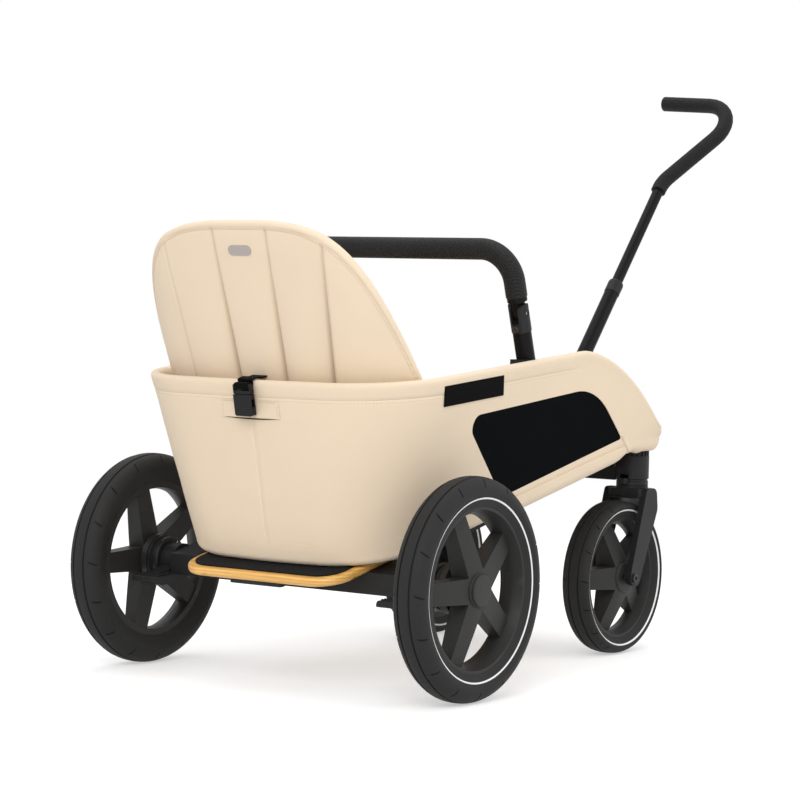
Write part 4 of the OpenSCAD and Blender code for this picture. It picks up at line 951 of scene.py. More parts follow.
def make_side_patch():
    """A bare woven patch sewn under the rim on the right side."""
    low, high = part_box("side_patch")

    def place(u, v):
        x = (mix(low.x, high.x, u) + PATCH_SLANT * (1 - v) - AXLE_X) / MM
        z = rim_z(x) - PATCH_DROP - PATCH_TALL * (1 - v)
        return row_point(x, wall_y(x, wall_share(x, z), 1.0), z)

    rows = [[place(i / 24, k / 6) for i in range(25)] for k in range(7)]
    patch = thin_sheet("side_patch_cloth", rows, 0.0009)
    apply_modifier(patch, "BEVEL", width=0.0003, segments=2, limit_method="ANGLE")
    settle(patch, "wagon", "black_patch", replaced=("side_patch",))
    out = Vector((0, -1, 0.1)).normalized()
    for name, row, inset in (("low", rows[0], 0.0016), ("high", rows[-1], -0.0016)):
        line = [p + Vector((0, -0.0006, inset)) for p in row[1:-1]]
        stitch_row(f"patch_stitching_{name}", line, [out] * len(line), "wagon", "black_patch", "webbing")


# Backrest: a panel whose wings come forward, in the solid's own places

BACK_X, BACK_LEAN, BACK_FAN, BACK_TOP_Z, BACK_T = -97.0, 0.30, 0.16, 641.0, 24.0
BACK_FLAT, BACK_CURVE_R, WING_S, WING_Z, FOOT_S = 100.0, 131.0, 254.0, 424.0, 140.0
ARCH = ((0, BACK_TOP_Z), (150, BACK_TOP_Z + 4), (160, BACK_TOP_Z - 36), (WING_S, WING_Z))
CHANNELS = (40.0, 120.0)
INNER_S, EDGE_ROUND, EDGE_SEAM = 128.0, 9.0, 10.0
LOW_ROWS, HIGH_ROWS, WING_COLUMNS = 26, 44, 22


def panel_point(s, z, depth):
    """A place on the panel: along its plan curve, up, and forward from its back face."""
    k = 1 + BACK_FAN * (z - RIM_REAR_Z) / (BACK_TOP_Z - RIM_REAR_Z)
    a = max(0.0, abs(s) - BACK_FLAT) / BACK_CURVE_R
    y = min(abs(s), BACK_FLAT) * k + (BACK_CURVE_R * k - depth) * math.sin(a)
    x = depth + (BACK_CURVE_R * k - depth) * (1 - math.cos(a))
    return row_point(BACK_X - BACK_LEAN * (z - RIM_REAR_Z) + x, math.copysign(y, s), z)


def arch_points():
    curve = []
    for k in range(161):
        t = k / 160
        w = ((1 - t) ** 3, 3 * t * (1 - t) ** 2, 3 * t * t * (1 - t), t**3)
        curve.append(tuple(sum(a * p[i] for a, p in zip(w, ARCH)) for i in (0, 1)))
    return curve


ARCH_LINE = arch_points()


def arch_z(s):
    """Height of the panel's arched top edge at a place along it."""
    for (s0, z0), (s1, z1) in zip(ARCH_LINE, ARCH_LINE[1:]):
        if s0 <= s <= s1:
            return mix(z0, z1, (s - s0) / max(1e-6, s1 - s0))
    return WING_Z


def edge_distance(s, z, foot_z):
    """Distance from a place on the panel to its sewn edge."""
    here = Vector((abs(s), z))
    line = [Vector((FOOT_S, foot_z)), Vector((WING_S, WING_Z))] + [Vector(p) for p in ARCH_LINE[::-8]]
    line.append(Vector((-30, BACK_TOP_Z)))
    least = abs(z - foot_z)
    for a, b in zip(line, line[1:]):
        along = b - a
        t = min(1.0, max(0.0, (here - a).dot(along) / max(1e-6, along.length_squared)))
        least = min(least, (here - a - along * t).length)
    return least


def channel_gap(s):
    return min(abs(abs(s) - c) for c in CHANNELS)


def back_columns():
    """Columns across the panel, closer together at the sewn channels and the edge."""
    half = [0.0, 12, 22, 30]
    for c in CHANNELS:
        half += [c - 6, c - 3.5, c - 1.8, c, c + 1.8, c + 3.5, c + 6]
    half += [CHANNELS[0] + step for step in (12, 22, 32, 42, 52)]
    half = sorted(set(h for h in half if h <= INNER_S - 1.5))
    for k in range(WING_COLUMNS + 1):
        half.append(INNER_S + (WING_S - INNER_S) * (1 - (1 - k / WING_COLUMNS) ** 1.6))
    return [-c for c in half[:0:-1]] + half


def back_places(foot_z):
    """Rows of places on the panel, each by its way along the plan curve and its height."""
    columns = back_columns()
    places = []
    for k in range(LOW_ROWS):
        z = mix(foot_z, WING_Z, k / LOW_ROWS)
        limit = mix(FOOT_S, WING_S, k / LOW_ROWS)
        line = []
        for c in columns:
            outer = max(0.0, abs(c) - INNER_S) / (WING_S - INNER_S)
            line.append((math.copysign(min(abs(c), INNER_S) + outer * (limit - INNER_S), c), z))
        places.append(line)
    for k in range(HIGH_ROWS + 1):
        w = 1 - (1 - k / HIGH_ROWS) ** 1.25
        places.append([(c, mix(WING_Z, arch_z(abs(c)), w)) for c in columns])
    return places


def pad_place(face, s, z, d):
    """A place on one face of the pad, at a distance from its edge, and the painted shade of its channels and
    edge seam there.
    """
    depth = sizes().channel_depth / MM
    round_in = math.sqrt(max(0.0, 1 - (1 - min(1.0, d / EDGE_ROUND)) ** 2))
    thick = BACK_T / 2 * (0.90 * round_in + 0.10 * smooth(d / 40))
    down = smooth((BACK_TOP_Z - z) / (BACK_TOP_Z - RIM_REAR_Z))
    groove = depth * mix(0.55, 1.25, down) * math.exp(-((channel_gap(s) / mix(1.5, 3.4, down)) ** 1.4))
    groove *= smooth((d - EDGE_SEAM) / 5) * (0.35 if s > 80 else 1.0)
    # Painted shade: darkest in the sewn channels, deeper towards the bottom, with a line along the edge seam.
    fold = groove / depth * 0.8 + 0.45 * math.exp(-(((d - EDGE_SEAM) / 1.1) ** 2))
    groove += sizes().seam_depth / MM * 0.8 * math.exp(-(((d - EDGE_SEAM) / 1.6) ** 2))
    thick -= groove if face == "back" else groove * 0.55
    return panel_point(s, z, BACK_T / 2 + (-thick if face == "back" else thick)), min(1.0, fold)


def make_backrest():
    """The padded backrest with its four sewn channels and the seam round its edge."""
    foot_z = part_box("backrest")[0].z / MM
    places = back_places(foot_z)
    points, faces, flat, folds = [], [], [], []
    for face in ("back", "front"):
        rows = []
        for level, line in enumerate(places):
            row = []
            for column, (s, z) in enumerate(line):
                outermost = level in (0, len(places) - 1) or column in (0, len(line) - 1)
                p, fold = pad_place(face, s, z, 0.0 if outermost else edge_distance(s, z, foot_z))
                row.append(p)
                folds.append(fold)
            rows.append(row)
        made, mapped = grid_faces(rows, base=len(points))
        points += flatten(rows)
        faces += [tuple(reversed(f)) for f in made] if face == "front" else made
        flat += [tuple(reversed(m)) for m in mapped] if face == "front" else mapped
    # Each point carries the painted shade of the channels and the edge seam.
    back = from_faces("padded_backrest", points, faces, flat, folds)
    tidy_mesh(back, 0.0004)
    sewn = {tuple(round(c, 3) for c in p): place for place, p in zip(flatten(places) * 2, points)}

    def held(p):
        s, z = sewn.get(tuple(round(c, 3) for c in p), (0, foot_z))
        return channel_gap(s) < 4 or edge_distance(s, z, foot_z) < EDGE_SEAM + 2 or z < foot_z + 60

    inflate(back, held, sizes().pillow * 0.5)
    apply_modifier(back, "SUBSURF", levels=1, render_levels=1)
    settle(back, "backrest", "sand_fabric", replaced=("backrest",), angle=60.0)
    for face, way, deep in (("back", -1, 0.042), ("front", 1, 0.958)):
        line = [panel_point(p.x, p.y, BACK_T * deep) for p in back_edge_line(EDGE_SEAM + 3.2, foot_z)]
        out = Vector((way, 0, way * 0.25)).normalized()
        stitch_row(f"{face}_edge_stitching", line, [out] * len(line), "backrest")


def back_edge_line(inset, foot_z):
    """A line along the panel's edge at a distance inside it."""
    outline = [Vector((mix(FOOT_S, WING_S, k / 20), mix(foot_z + 20, WING_Z, k / 20))) for k in range(20)]
    outline += [Vector(p) for p in ARCH_LINE[::-4]]
    side = []
    for i, p in enumerate(outline):
        a, b = outline[max(0, i - 1)], outline[min(len(outline) - 1, i + 1)]
        along = (b - a).normalized()
        side.append(p + Vector((-along.y, along.x)) * inset)
    side = [p for p in side if p.x > 0]
    return side + [Vector((-p.x, p.y)) for p in reversed(side)]


# Seat, welt and strap

STRAP_PATH = ((-99, 430.5), (-113, 428), (-123, 428.5), (-133.3, 425.5), (-132.3, 421.5), (-132.3, 416))
STRAP_THICK = 0.0018
LOOP_UP, LOOP_OUT, LOOP_TALL, LOOP_DEEP = 25.7, 4.9, 9.9, 8.8
BUCKLE_Z, BUCKLE_OFF = 394.0, 6.0


def make_seat():
    """The padded seat, filled over the shape of its solid."""
    seat = bpy.data.objects.new("padded_seat", NODES["seat_pad"].data.copy())
    bpy.context.scene.collection.objects.link(seat)
    tidy_mesh(seat)
    apply_modifier(seat, "REMESH", mode="VOXEL", voxel_size=0.006)
    apply_modifier(seat, "SMOOTH", factor=0.5, iterations=4)
    low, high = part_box("seat_pad")
    inflate(seat, lambda p: p.z < low.z + (high.z - low.z) * 0.5, sizes().pillow)
    apply_modifier(seat, "SUBSURF", levels=1, render_levels=1)
    layer = seat.data.uv_layers.new(name="cloth")
    for loop in seat.data.loops:
        layer.data[loop.index].uv = seat.data.vertices[loop.vertex_index].co.xy
    settle(seat, "wagon", "sand_fabric", replaced=("seat_pad",), angle=60.0)


def rear_wall_x(z):
    """The rear wall's outer face on the wagon's middle line."""
    return mix(FLOOR_X, RIM_REAR_X, (z - FLOOR_Z) / (RIM_REAR_Z - FLOOR_Z)) - REAR_BOW


def make_welt():
    """A cloth welt over the slot in the rear wall, its lower edge standing open in the middle."""
    low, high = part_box("strap_welt")
    middle = (low.z + high.z) / 2 / MM
    half_w, half_h = (high.y - low.y) / 2 / MM, (high.z - low.z) / 2 / MM

    def place(u, v):
        z = middle - half_h + 2 * half_h * v
        stand = 0.95 + 2.4 * (1 - smooth(v / 0.7)) * (1 - u * u) ** 1.5
        return row_point(rear_wall_x(z) - stand + 0.8 * u * u, u * half_w, z)

    rows = [[place(i / 16 - 1, k / 12) for i in range(33)] for k in range(13)]
    welt = thin_sheet("rear_welt", rows, 0.0009)
    settle(welt, "wagon", "sand_fabric", replaced=("strap_welt",))
    out = Vector((-1, 0, -0.2)).normalized()
    lift = out * 0.0004
    lines = {
        "top": [p + lift - Vector((0, 0, 0.0016)) for p in rows[-1][1:-1]],
        "right": [row[1] + lift for row in rows[1:-1]],
        "left": [row[-2] + lift for row in rows[1:-1]],
    }
    for name, line in lines.items():
        stitch_row(f"welt_stitching_{name}", line, [out] * len(line), "wagon")
    # A painted shadow under the welt's open lower edge.
    make_painted_welt_shadow(middle - half_h, half_w)


def make_painted_welt_shadow(edge_z, half_w):
    """A dark strip on the wall just below the welt's lower edge: a painted shadow where the welt stands open
    over the slot.
    """
    def place(u, v):
        z = edge_z + 9.0 - (9.1 + 2.4 * (1 - u * u)) * (1 - v)
        return row_point(rear_wall_x(z) - 0.2 + 0.8 * u * u, u * half_w * 0.96, z)

    rows = [[place(i / 16 - 1, v) for i in range(33)] for v in (1.0, 0.6, 0.3, 0.0)]
    painted_gap_shadow = thin_sheet("welt_shadow_strip", rows, 0.0003)
    settle(painted_gap_shadow, "wagon", "sand_fabric", "painted_gap_shadow")


def smooth_path(spots, steps):
    """Points along a soft curve through the spots."""
    whole = [spots[0]] + list(spots) + [spots[-1]]
    line = []
    for a, b, c, d in zip(whole, whole[1:], whole[2:], whole[3:]):
        for k in range(steps):
            t = k / steps
            place = b * 2 + (c - a) * t
            place += (a * 2 - b * 5 + c * 4 - d) * t * t
            place += (b * 3 - a - c * 3 + d) * t**3
            line.append(place / 2)
    return line + [spots[-1]]


def make_strap():
    """The webbing strap from the backrest over the rear rim to its buckle."""
    low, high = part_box("strap")
    half = (high.y - low.y) / 2
    path = smooth_path([row_point(x, 0, z) for x, z in STRAP_PATH], 7)
    edge = ((1.0, -0.5), (0.985, 0.5), (0.9, 0.62))
    profile = [(-half * share, h) for share, h in edge]
    profile += [(half * (i / 4 - 0.75) / 0.75 * 0.85, 0.5) for i in range(7)]
    profile += [(half * share, h) for share, h in reversed(edge)]
    rows = []
    for k, p in enumerate(path):
        ahead = (path[min(k + 1, len(path) - 1)] - path[max(k - 1, 0)]).normalized()
        out = ahead.cross(Vector((0, 1, 0)))
        rows.append([p + Vector((0, y, 0)) + out * (STRAP_THICK * h) for y, h in profile])
    faces, flat = grid_faces(rows, closed=True)
    width = len(rows[0])
    last = (len(rows) - 1) * width
    faces += [tuple(range(width - 1, -1, -1)), tuple(last + i for i in range(width))]
    flat += [[(0.0, 0.0)] * width] * 2
    strap = from_faces("webbing_strap", flatten(rows), faces, flat)
    tidy_mesh(strap)
    strap.data.materials.append(finish("webbing"))
    soften(strap, 50.0)
    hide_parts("strap")
    COVERED.add("strap")
    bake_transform(strap)


def make_strap_loop():
    """The strap's end, folded round the bar of the buckle's plug."""
    low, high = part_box("strap")
    lean = math.atan((FLOOR_X - RIM_REAR_X) / (RIM_REAR_Z - FLOOR_Z))
    up = Vector((-math.sin(lean), 0, math.cos(lean)))
    out = Vector((-math.cos(lean), 0, -math.sin(lean)))
    base = row_point(rear_wall_x(BUCKLE_Z), 0, BUCKLE_Z)
    size = (LOOP_DEEP * MM, high.y - low.y, LOOP_TALL * MM)
    place = base + (up * LOOP_UP + out * (BUCKLE_OFF + LOOP_OUT)) * MM
    loop = add_block("strap_loop", size, place, lean)
    apply_modifier(loop, "BEVEL", width=0.0026, segments=5, limit_method="ANGLE")
    settle(loop, "buckle_plug", "webbing", angle=60.0)


# Tyres and grips

TYRES = {
    "rear": {"x": 0.0, "y": 282.0, "r": 152.5, "rim": 112.0, "width": 50.0, "wide": 132.0, "bead": 17.0,
             "stripe": 123.7, "groove": 9.0, "both": False},
    "front": {"x": 564.0, "y": 168.0, "r": 117.0, "rim": 92.0, "width": 46.0, "wide": 107.0, "bead": 13.8,
              "stripe": 103.0, "groove": 8.0, "both": True},
}
STRIPE_HALF, STRIPE_DEEP, GROOVE_HALF, GROOVE_DEEP = 1.36, 1.6, 1.1, 2.5
GROOVE_LIP = ((0.5, 0.0), (0.05, 0.25), (-0.15, 1.0))
CROWN_POWER, SHOULDER_STEPS = 1.25, 14
SECTOR = (0.0, 0.012, 0.022, 0.05, 0.10, 0.20, 0.33, 0.5, 0.67, 0.80, 0.90, 0.95, 0.978, 0.988)
SADDLE_AHEAD, SADDLE_BACK, SADDLE_GAP = 64.0, 22.0, 5.0
SADDLE_UP, SADDLE_TALL, SADDLE_SIDE = 0.109, 0.026, 0.0055
PULL_X, PULL_Z, PULL_LEAN, PULL_GRIP_R, PULL_GRIP_BEND = 611.0, 300.0, 39.7, 12.5, 50.0
PULL_GRIP_PATH = ((0.0, 546.0), (0.0, 566.0), (-108.0, 735.0), (66.0, 748.0))


def crown_radius(form, y):
    c = min(1.0, abs(y) / (form["width"] / 2)) ** CROWN_POWER
    return form["wide"] + (form["r"] - form["wide"]) * math.sqrt(1 - c * c)


def tyre_side(form, striped):
    """Half of a tyre's section, bead to mid tread: radius and distance from the middle."""
    rim, bead, wide, half = form["rim"], form["bead"], form["wide"], form["width"] / 2

    def wall(radius):
        v = (radius - rim) / (wide - rim)
        return mix(bead, half, v) + 0.7 * math.sin(math.pi * v)

    def wall_run(start, end, steps):
        return [(r, wall(r)) for r in (mix(start, end, k / steps) for k in range(steps + 1))]

    side = [(rim, bead - 2.0), (rim, bead), (rim + 1.2, wall(rim + 1.2) + 0.3)]
    low, high = form["stripe"] - STRIPE_HALF, form["stripe"] + STRIPE_HALF
    side += wall_run(rim + 2.2, low - 0.5, 3)
    if striped:
        floor = wall(form["stripe"]) - STRIPE_DEEP
        side += [(low, wall(low) - 0.1), (low + 0.02, floor), (high - 0.02, floor), (high, wall(high) - 0.1)]
    side += wall_run(high + 0.5, wide, 4)
    edge = form["groove"] + GROOVE_HALF
    turn = math.acos(((edge + 1.6) / half) ** CROWN_POWER)
    for k in range(1, SHOULDER_STEPS + 1):
        a = turn * k / SHOULDER_STEPS
        side.append((wide + (form["r"] - wide) * math.sin(a), half * math.cos(a) ** (1 / CROWN_POWER)))
    lips = [(edge + lip, deep) for lip, deep in GROOVE_LIP]
    lips += [(edge - 2 * GROOVE_HALF - lip, deep) for lip, deep in reversed(GROOVE_LIP)]
    side += [(crown_radius(form, y) - GROOVE_DEEP * deep, y) for y, deep in lips]
    last = side[-1][1]
    side += [(crown_radius(form, last * (1 - k / 4)), last * (1 - k / 4)) for k in range(1, 5)]
    return side


def sipe_share(form, radius, y):
    """How far along a shoulder cut a place of the section lies, from the tread to the wall, or None."""
    wide = form["wide"]
    if abs(y) < form["groove"] + GROOVE_HALF + 2.4 or radius < wide - 2.0:
        return None
    turn = math.degrees(math.asin(min(1.0, max(0.0, (radius - wide) / (form["r"] - wide)))))
    return min(1.0, max(0.0, 1 - turn / 75.0)) * 0.9 + 0.1 * min(1.0, abs(y) / (form["width"] / 2))


def make_tyre(kind, side):
    """A tyre spun round its axle, with its tread grooves, stripe recess and hooked cuts in its shoulders."""
    form = TYRES[kind]
    sign = SIDES[side]
    outer = tyre_side(form, True)
    inner = tyre_side(form, form["both"])
    section = [(r, y * sign) for r, y in outer] + [(r, -y * sign) for r, y in reversed(inner[:-1])]
    centre = row_point(form["x"], sign * form["y"], form["r"])
    points = [centre + Vector((0, y * MM, r * MM)) for r, y in section]
    tyre = from_faces(f"{kind}_tyre_rubber_{side}", points, [])
    shape = tyre.data
    shape.edges.add(len(points))
    for i in range(len(points)):
        shape.edges[i].vertices = (i, (i + 1) % len(points))
    shape.update()
    count = sizes().sipes * len(SECTOR)
    turn = {"steps": count, "angle": 2 * math.pi, "center": centre, "axis": (0, 1, 0)}
    edit_all(tyre, (bpy.ops.mesh.spin, turn))
    tidy_mesh(tyre)
    cut_sipes(tyre, form, centre)
    settle(tyre, f"{kind}_wheel_{side}", "tyre_rubber", replaced=(f"{kind}_tyre_{side}",), angle=35.0)


def cut_sipes(tyre, form, centre):
    """Moves the spun columns close together at each cut and sinks the cut between them."""
    count = sizes().sipes * len(SECTOR)
    sector = 2 * math.pi / sizes().sipes
    deep = sizes().sipe_depth / MM
    middle = Vector((form["wide"] - 6.0, 0.0))
    for vertex in tyre.data.vertices:
        place = vertex.co - centre
        radius, y = math.hypot(place.x, place.z) / MM, place.y / MM
        column = round(math.atan2(place.x, place.z) / (2 * math.pi) * count) % count
        sector_at, step = divmod(column, len(SECTOR))
        share = sipe_share(form, radius, y)
        q = SECTOR[step]
        away = min(q, 1 - q)
        hook = 0.0
        if abs(y) > form["groove"] - GROOVE_HALF:
            along = share if share is not None else (0.0 if radius > form["wide"] else 1.0)
            hook = 0.16 * (1 - along) ** 2 * (1 - (2 * away) ** 2)
        angle = sector * (sector_at + q + hook)
        if share is not None and away < 0.015:
            inward = (middle - Vector((radius, y))).normalized() * deep
            inward *= smooth((share - 0.28) / 0.1) * smooth((0.82 - share) / 0.1)
            radius, y = radius + inward.x, y + inward.y
        vertex.co = centre + Vector((math.sin(angle) * radius, y, math.cos(angle) * radius)) * MM


def make_saddle(side):
    """A moulded saddle under the fork's crown, hollowed to follow the tyre below it."""
    low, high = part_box(f"front_tyre_{side}")
    centre = (low + high) / 2
    size = ((SADDLE_AHEAD - SADDLE_BACK) * MM, high.y - low.y + 2 * SADDLE_SIDE, SADDLE_TALL)
    place = centre + Vector(((SADDLE_AHEAD + SADDLE_BACK) / 2 * MM, 0, SADDLE_UP))
    saddle = add_block(f"fork_saddle_{side}", size, place)
    bpy.ops.mesh.primitive_cylinder_add(
        vertices=128, radius=(high.z - low.z) / 2 + SADDLE_GAP * MM, depth=0.2, location=centre,
        rotation=(math.radians(90), 0, 0),
    )
    hollow = bpy.context.object
    bpy.ops.object.transform_apply(location=True, rotation=True, scale=True)
    cut(saddle, hollow)
    apply_modifier(saddle, "BEVEL", width=0.0015, segments=3, limit_method="ANGLE")
    settle(saddle, f"fork_{side}", "frame_black")


def rounded_path(spots, bend, steps=10):
    """A path through the spots whose inner corners are arcs."""
    line = [spots[0]]
    for a, b, c in zip(spots, spots[1:], spots[2:]):
        u, v = (a - b).normalized(), (c - b).normalized()
        half = u.angle(v) / 2
        centre = b + (u + v).normalized() * (bend / math.sin(half))
        spoke = b + u * (bend / math.tan(half)) - centre
        for k in range(steps + 1):
            turn = Matrix.Rotation(-(math.pi - 2 * half) * k / steps, 3, u.cross(v))
            line.append(centre + turn @ spoke)
    return line + [spots[-1]]


def make_pull_grip():
    """The bent foam grip on the pull handle, swept along its path and rounded at its end."""
    lean = math.radians(PULL_LEAN)
    across, along = Vector((0, 1, 0)), Vector((math.sin(lean), 0, math.cos(lean)))
    base = row_point(PULL_X, 0, PULL_Z)
    spots = [base + across * (y * MM) + along * (z * MM) for y, z in PULL_GRIP_PATH]
    line = rounded_path(spots, PULL_GRIP_BEND * MM)
    curve = bpy.data.curves.new("bent_grip", "CURVE")
    curve.dimensions = "3D"
    curve.bevel_depth = PULL_GRIP_R * MM
    curve.bevel_resolution = 10
    curve.use_fill_caps = True
    spline = curve.splines.new("POLY")
    spline.points.add(len(line) - 1)
    for point, place in zip(spline.points, line):
        point.co = (*place, 1.0)
    grip = bpy.data.objects.new("bent_grip", curve)
    bpy.context.scene.collection.objects.link(grip)
    make_active(grip)
    bpy.ops.object.convert(target="MESH")
    grip = bpy.context.object
    tidy_mesh(grip)
    apply_modifier(
        grip, "BEVEL", width=0.0055, segments=5, limit_method="ANGLE", angle_limit=math.radians(60)
    )
    settle(grip, "pull_handle", "foam", replaced=("pull_grip",), angle=50.0)


# Finishes of the frame's own pieces

EDGE_ROUNDS = {
    "deck_board": 0.0045, "buckle_socket": 0.0016, "buckle_plug": 0.0016, "push_grip": 0.002,
    "wheel_plastic": 0.0009,
}
WHOLE_FACES = (
    "deck_board", "buckle_socket", "buckle_plug", "brake_pedal_left", "brake_pedal_right", "fork_left",
    "fork_right",
)


def add_modifier(piece, name, kind, **values):
    made = piece.modifiers.new(name, kind)
    for key, value in values.items():
        setattr(made, key, value)


def dress_nodes():
    """Gives the frame's own pieces their finishes, and soft edges and even curves by modifiers."""
    for part in frame["record"]["subparts"]:
        name, slot = part["node"], part["material_slot"]
        if name in COVERED:
            continue
        piece = NODES[name]
        piece.data.materials.clear()
        piece.data.materials.append(finish("knurled_foam" if name == "push_grip" else slot))
        add_modifier(piece, "merge", "WELD", merge_threshold=0.00002)
        if name in WHOLE_FACES:
            whole = {"decimate_type": "DISSOLVE", "angle_limit": math.radians(1)}
            add_modifier(piece, "whole faces", "DECIMATE", **whole)
        width = EDGE_ROUNDS.get(name, EDGE_ROUNDS.get(slot, 0.0005))
        add_modifier(
            piece, "edge rounds", "BEVEL", width=width, segments=5 if width > 0.001 else 2,
            limit_method="ANGLE", angle_limit=math.radians(38),
        )
        add_modifier(piece, "even normals", "WEIGHTED_NORMAL", keep_sharp=True, weight=60)


# Stage

CAMERA_PLACE = (-3.4804, -2.3117, 0.5696)
CAMERA_YAW, CAMERA_PITCH, CAMERA_ROLL, CAMERA_LENS = 35.535, -2.606, 1.189, 122.48
SHADOW_REACH, FLOOR_REACH, FLOOR_SHADE, FLOOR_GLOW = 1.0, 2.4, 0.72, 0.45


def seen_rays(tree):
    """One where a ray comes from the camera, a gloss or a glass, and nought for scattered light."""
    path = tree.nodes.new("ShaderNodeLightPath").outputs
    both = math_node(tree, "MAXIMUM", path["Is Camera Ray"], path["Is Glossy Ray"])
    return math_node(tree, "MAXIMUM", both, path["Is Transmission Ray"])


def make_world():
    """A room that is seen as white and lights the wagon at its own strength."""
    world = bpy.data.worlds.new("studio")
    bpy.context.scene.world = world
    tree = bare_tree(world)
    room = sizes().room_light
    strength = math_node(tree, "MULTIPLY_ADD", seen_rays(tree), 1.0 - room, room)
    back = node(tree, "ShaderNodeBackground", Color=(1, 1, 1, 1), Strength=strength)
    node(tree, "ShaderNodeOutputWorld", Surface=back.outputs["Background"])


def make_floor():
    """A pale floor that takes the shadow near the wagon and is seen as white far from it."""
    deselect()
    bpy.ops.mesh.primitive_circle_add(vertices=96, radius=60.0, fill_type="NGON", location=(0, 0, -0.0004))
    floor = bpy.context.object
    floor.name = "floor"
    made = bpy.data.materials.new("pale_floor")
    tree = bare_tree(made)
    seen = seen_rays(tree)
    reach = node(tree, "ShaderNodeVectorMath", operation="LENGTH", Vector=own_place(tree)).outputs["Value"]

    def seen_far(least):
        return math_node(tree, "MULTIPLY", seen, ramp_value(tree, reach, SHADOW_REACH, FLOOR_REACH, least))

    shade = math_node(tree, "MULTIPLY", math_node(tree, "SUBTRACT", 1.0, seen_far(0.0)), FLOOR_SHADE)
    matt = node(tree, "ShaderNodeBsdfDiffuse", Color=shade)
    glow = node(tree, "ShaderNodeEmission", Strength=seen_far(FLOOR_GLOW))
    both = tree.nodes.new("ShaderNodeAddShader")
    put(tree, both.inputs[0], matt.outputs["BSDF"])
    put(tree, both.inputs[1], glow.outputs["Emission"])
    node(tree, "ShaderNodeOutputMaterial", Surface=both.outputs["Shader"])
    floor.data.materials.append(made)


def make_lamp(name, place, target, size, power):
    lamp = bpy.data.lights.new(name, "AREA")
    lamp.shape = "DISK"
    lamp.size = size
    lamp.energy = power
    made = bpy.data.objects.new(name, lamp)
    made.location = place
    made.rotation_euler = (Vector(target) - Vector(place)).to_track_quat("-Z", "Y").to_euler()
    bpy.context.scene.collection.objects.link(made)


def make_camera():
    yaw, pitch, roll = (math.radians(a) for a in (CAMERA_YAW, CAMERA_PITCH, CAMERA_ROLL))
    ahead = Vector((math.cos(pitch) * math.cos(yaw), math.cos(pitch) * math.sin(yaw), math.sin(pitch)))
    right = Vector((math.sin(yaw), -math.cos(yaw), 0))
    up = right.cross(ahead)
    turned = right * math.cos(roll) + up * math.sin(roll)
    upright = up * math.cos(roll) - right * math.sin(roll)
    lens = bpy.data.cameras.new("camera")
    lens.lens = CAMERA_LENS
    lens.sensor_width = 36.0
    camera = bpy.data.objects.new("camera", lens)
    facing = Matrix((turned, upright, -ahead)).transposed().to_4x4()
    camera.matrix_world = Matrix.Translation(CAMERA_PLACE) @ facing
    bpy.context.scene.collection.objects.link(camera)
    bpy.context.scene.camera = camera


def set_stage():
    """Pale floor, white room, soft lamps and the camera."""
    bpy.context.scene.view_settings.view_transform = "Standard"
    make_world()
    make_floor()
    make_lamp("key", (-3.6, -1.8, 2.6), (0, 0, 0.3), 2.4, 71.0)
    make_lamp("fill", (1.0, -3.4, 1.8), (0, 0, 0.3), 2.6, 23.0)
    make_lamp("top", (0.2, 0.6, 3.6), (0, 0, 0.2), 2.8, 30.0)
    make_camera()


# Operators


class WagonPiece:
    """What the operators share: they undo as one step and run where the frame is loaded."""

    bl_options = {"REGISTER", "UNDO"}

    @classmethod
    def poll(cls, context):
        return bool(NODES)


class WAGON_OT_tub(WagonPiece, bpy.types.Operator):
    """Model the sewn tub with its seams and stitching"""

    bl_idname = "wagon.tub"
    bl_label = "Tub"

    def execute(self, context):
        make_tub()
        make_tub_stitching()
        make_nose_seam()
        return {"FINISHED"}


class WAGON_OT_windows(WagonPiece, bpy.types.Operator):
    """Stretch the black mesh in the side windows"""

    bl_idname = "wagon.windows"
    bl_label = "Windows"

    def execute(self, context):
        make_windows()
        return {"FINISHED"}


class WAGON_OT_trim(WagonPiece, bpy.types.Operator):
    """Sew on the side patch, the rear welt and the strap"""

    bl_idname = "wagon.trim"
    bl_label = "Patch, welt and strap"

    def execute(self, context):
        make_side_patch()
        make_welt()
        make_strap()
        make_strap_loop()
        return {"FINISHED"}


class WAGON_OT_backrest(WagonPiece, bpy.types.Operator):
    """Fill the backrest and sew its channels"""

    bl_idname = "wagon.backrest"
    bl_label = "Backrest"

    def execute(self, context):
        make_backrest()
        return {"FINISHED"}


class WAGON_OT_seat(WagonPiece, bpy.types.Operator):
    """Fill the seat pad"""

    bl_idname = "wagon.seat"
    bl_label = "Seat"

    def execute(self, context):
        make_seat()
        return {"FINISHED"}


class WAGON_OT_tyres(WagonPiece, bpy.types.Operator):
    """Spin the four tyres, cut their treads and set the saddles over the front ones"""

    bl_idname = "wagon.tyres"
    bl_label = "Tyres"

    def execute(self, context):
        for kind in TYRES:
            for side in SIDES:
                make_tyre(kind, side)
        for side in SIDES:
            make_saddle(side)
        return {"FINISHED"}


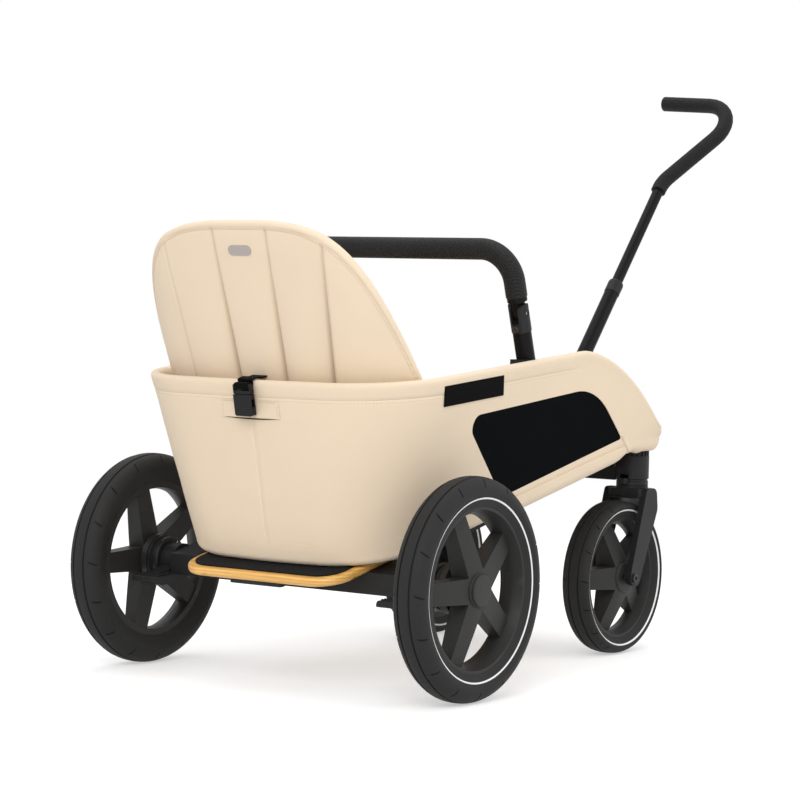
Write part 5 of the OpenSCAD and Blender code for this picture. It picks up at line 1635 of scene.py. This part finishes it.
class WAGON_OT_pull_grip(WagonPiece, bpy.types.Operator):
    """Sweep the bent foam grip of the pull handle"""

    bl_idname = "wagon.pull_grip"
    bl_label = "Pull grip"

    def execute(self, context):
        make_pull_grip()
        return {"FINISHED"}


class WAGON_OT_finishes(WagonPiece, bpy.types.Operator):
    """Finish the frame's own pieces"""

    bl_idname = "wagon.finishes"
    bl_label = "Frame finishes"

    def execute(self, context):
        dress_nodes()
        return {"FINISHED"}


class WAGON_OT_stage(WagonPiece, bpy.types.Operator):
    """Set the floor, the light and the camera"""

    bl_idname = "wagon.stage"
    bl_label = "Stage"

    def execute(self, context):
        set_stage()
        return {"FINISHED"}


STEPS = (
    WAGON_OT_tub, WAGON_OT_windows, WAGON_OT_trim, WAGON_OT_backrest, WAGON_OT_seat, WAGON_OT_tyres,
    WAGON_OT_pull_grip, WAGON_OT_finishes, WAGON_OT_stage,
)


class WAGON_PT_panel(bpy.types.Panel):
    """The wagon's pieces, sizes and colours"""

    bl_label = "Stroller wagon"
    bl_idname = "WAGON_PT_panel"
    bl_space_type = "VIEW_3D"
    bl_region_type = "UI"
    bl_category = "Wagon"

    def draw(self, context):
        layout = self.layout
        for step in STEPS:
            layout.operator(step.bl_idname)
        for group in (context.scene.wagon_sizes, context.scene.wagon_colours):
            box = layout.box()
            for name in group.bl_rna.properties.keys():
                if name not in ("rna_type", "name"):
                    box.prop(group, name)


CLASSES = (WagonColours, WagonSizes, *STEPS, WAGON_PT_panel)


def register():
    for kind in CLASSES:
        bpy.utils.register_class(kind)
    bpy.types.Scene.wagon_colours = PointerProperty(type=WagonColours)
    bpy.types.Scene.wagon_sizes = PointerProperty(type=WagonSizes)


def unregister():
    del bpy.types.Scene.wagon_sizes
    del bpy.types.Scene.wagon_colours
    for kind in reversed(CLASSES):
        bpy.utils.unregister_class(kind)


def main():
    register()
    bpy.ops.wagon.tub()
    bpy.ops.wagon.windows()
    bpy.ops.wagon.trim()
    bpy.ops.wagon.backrest()
    bpy.ops.wagon.seat()
    bpy.ops.wagon.tyres()
    bpy.ops.wagon.pull_grip()
    bpy.ops.wagon.finishes()
    bpy.ops.wagon.stage()


if __name__ == "__main__":
    main()
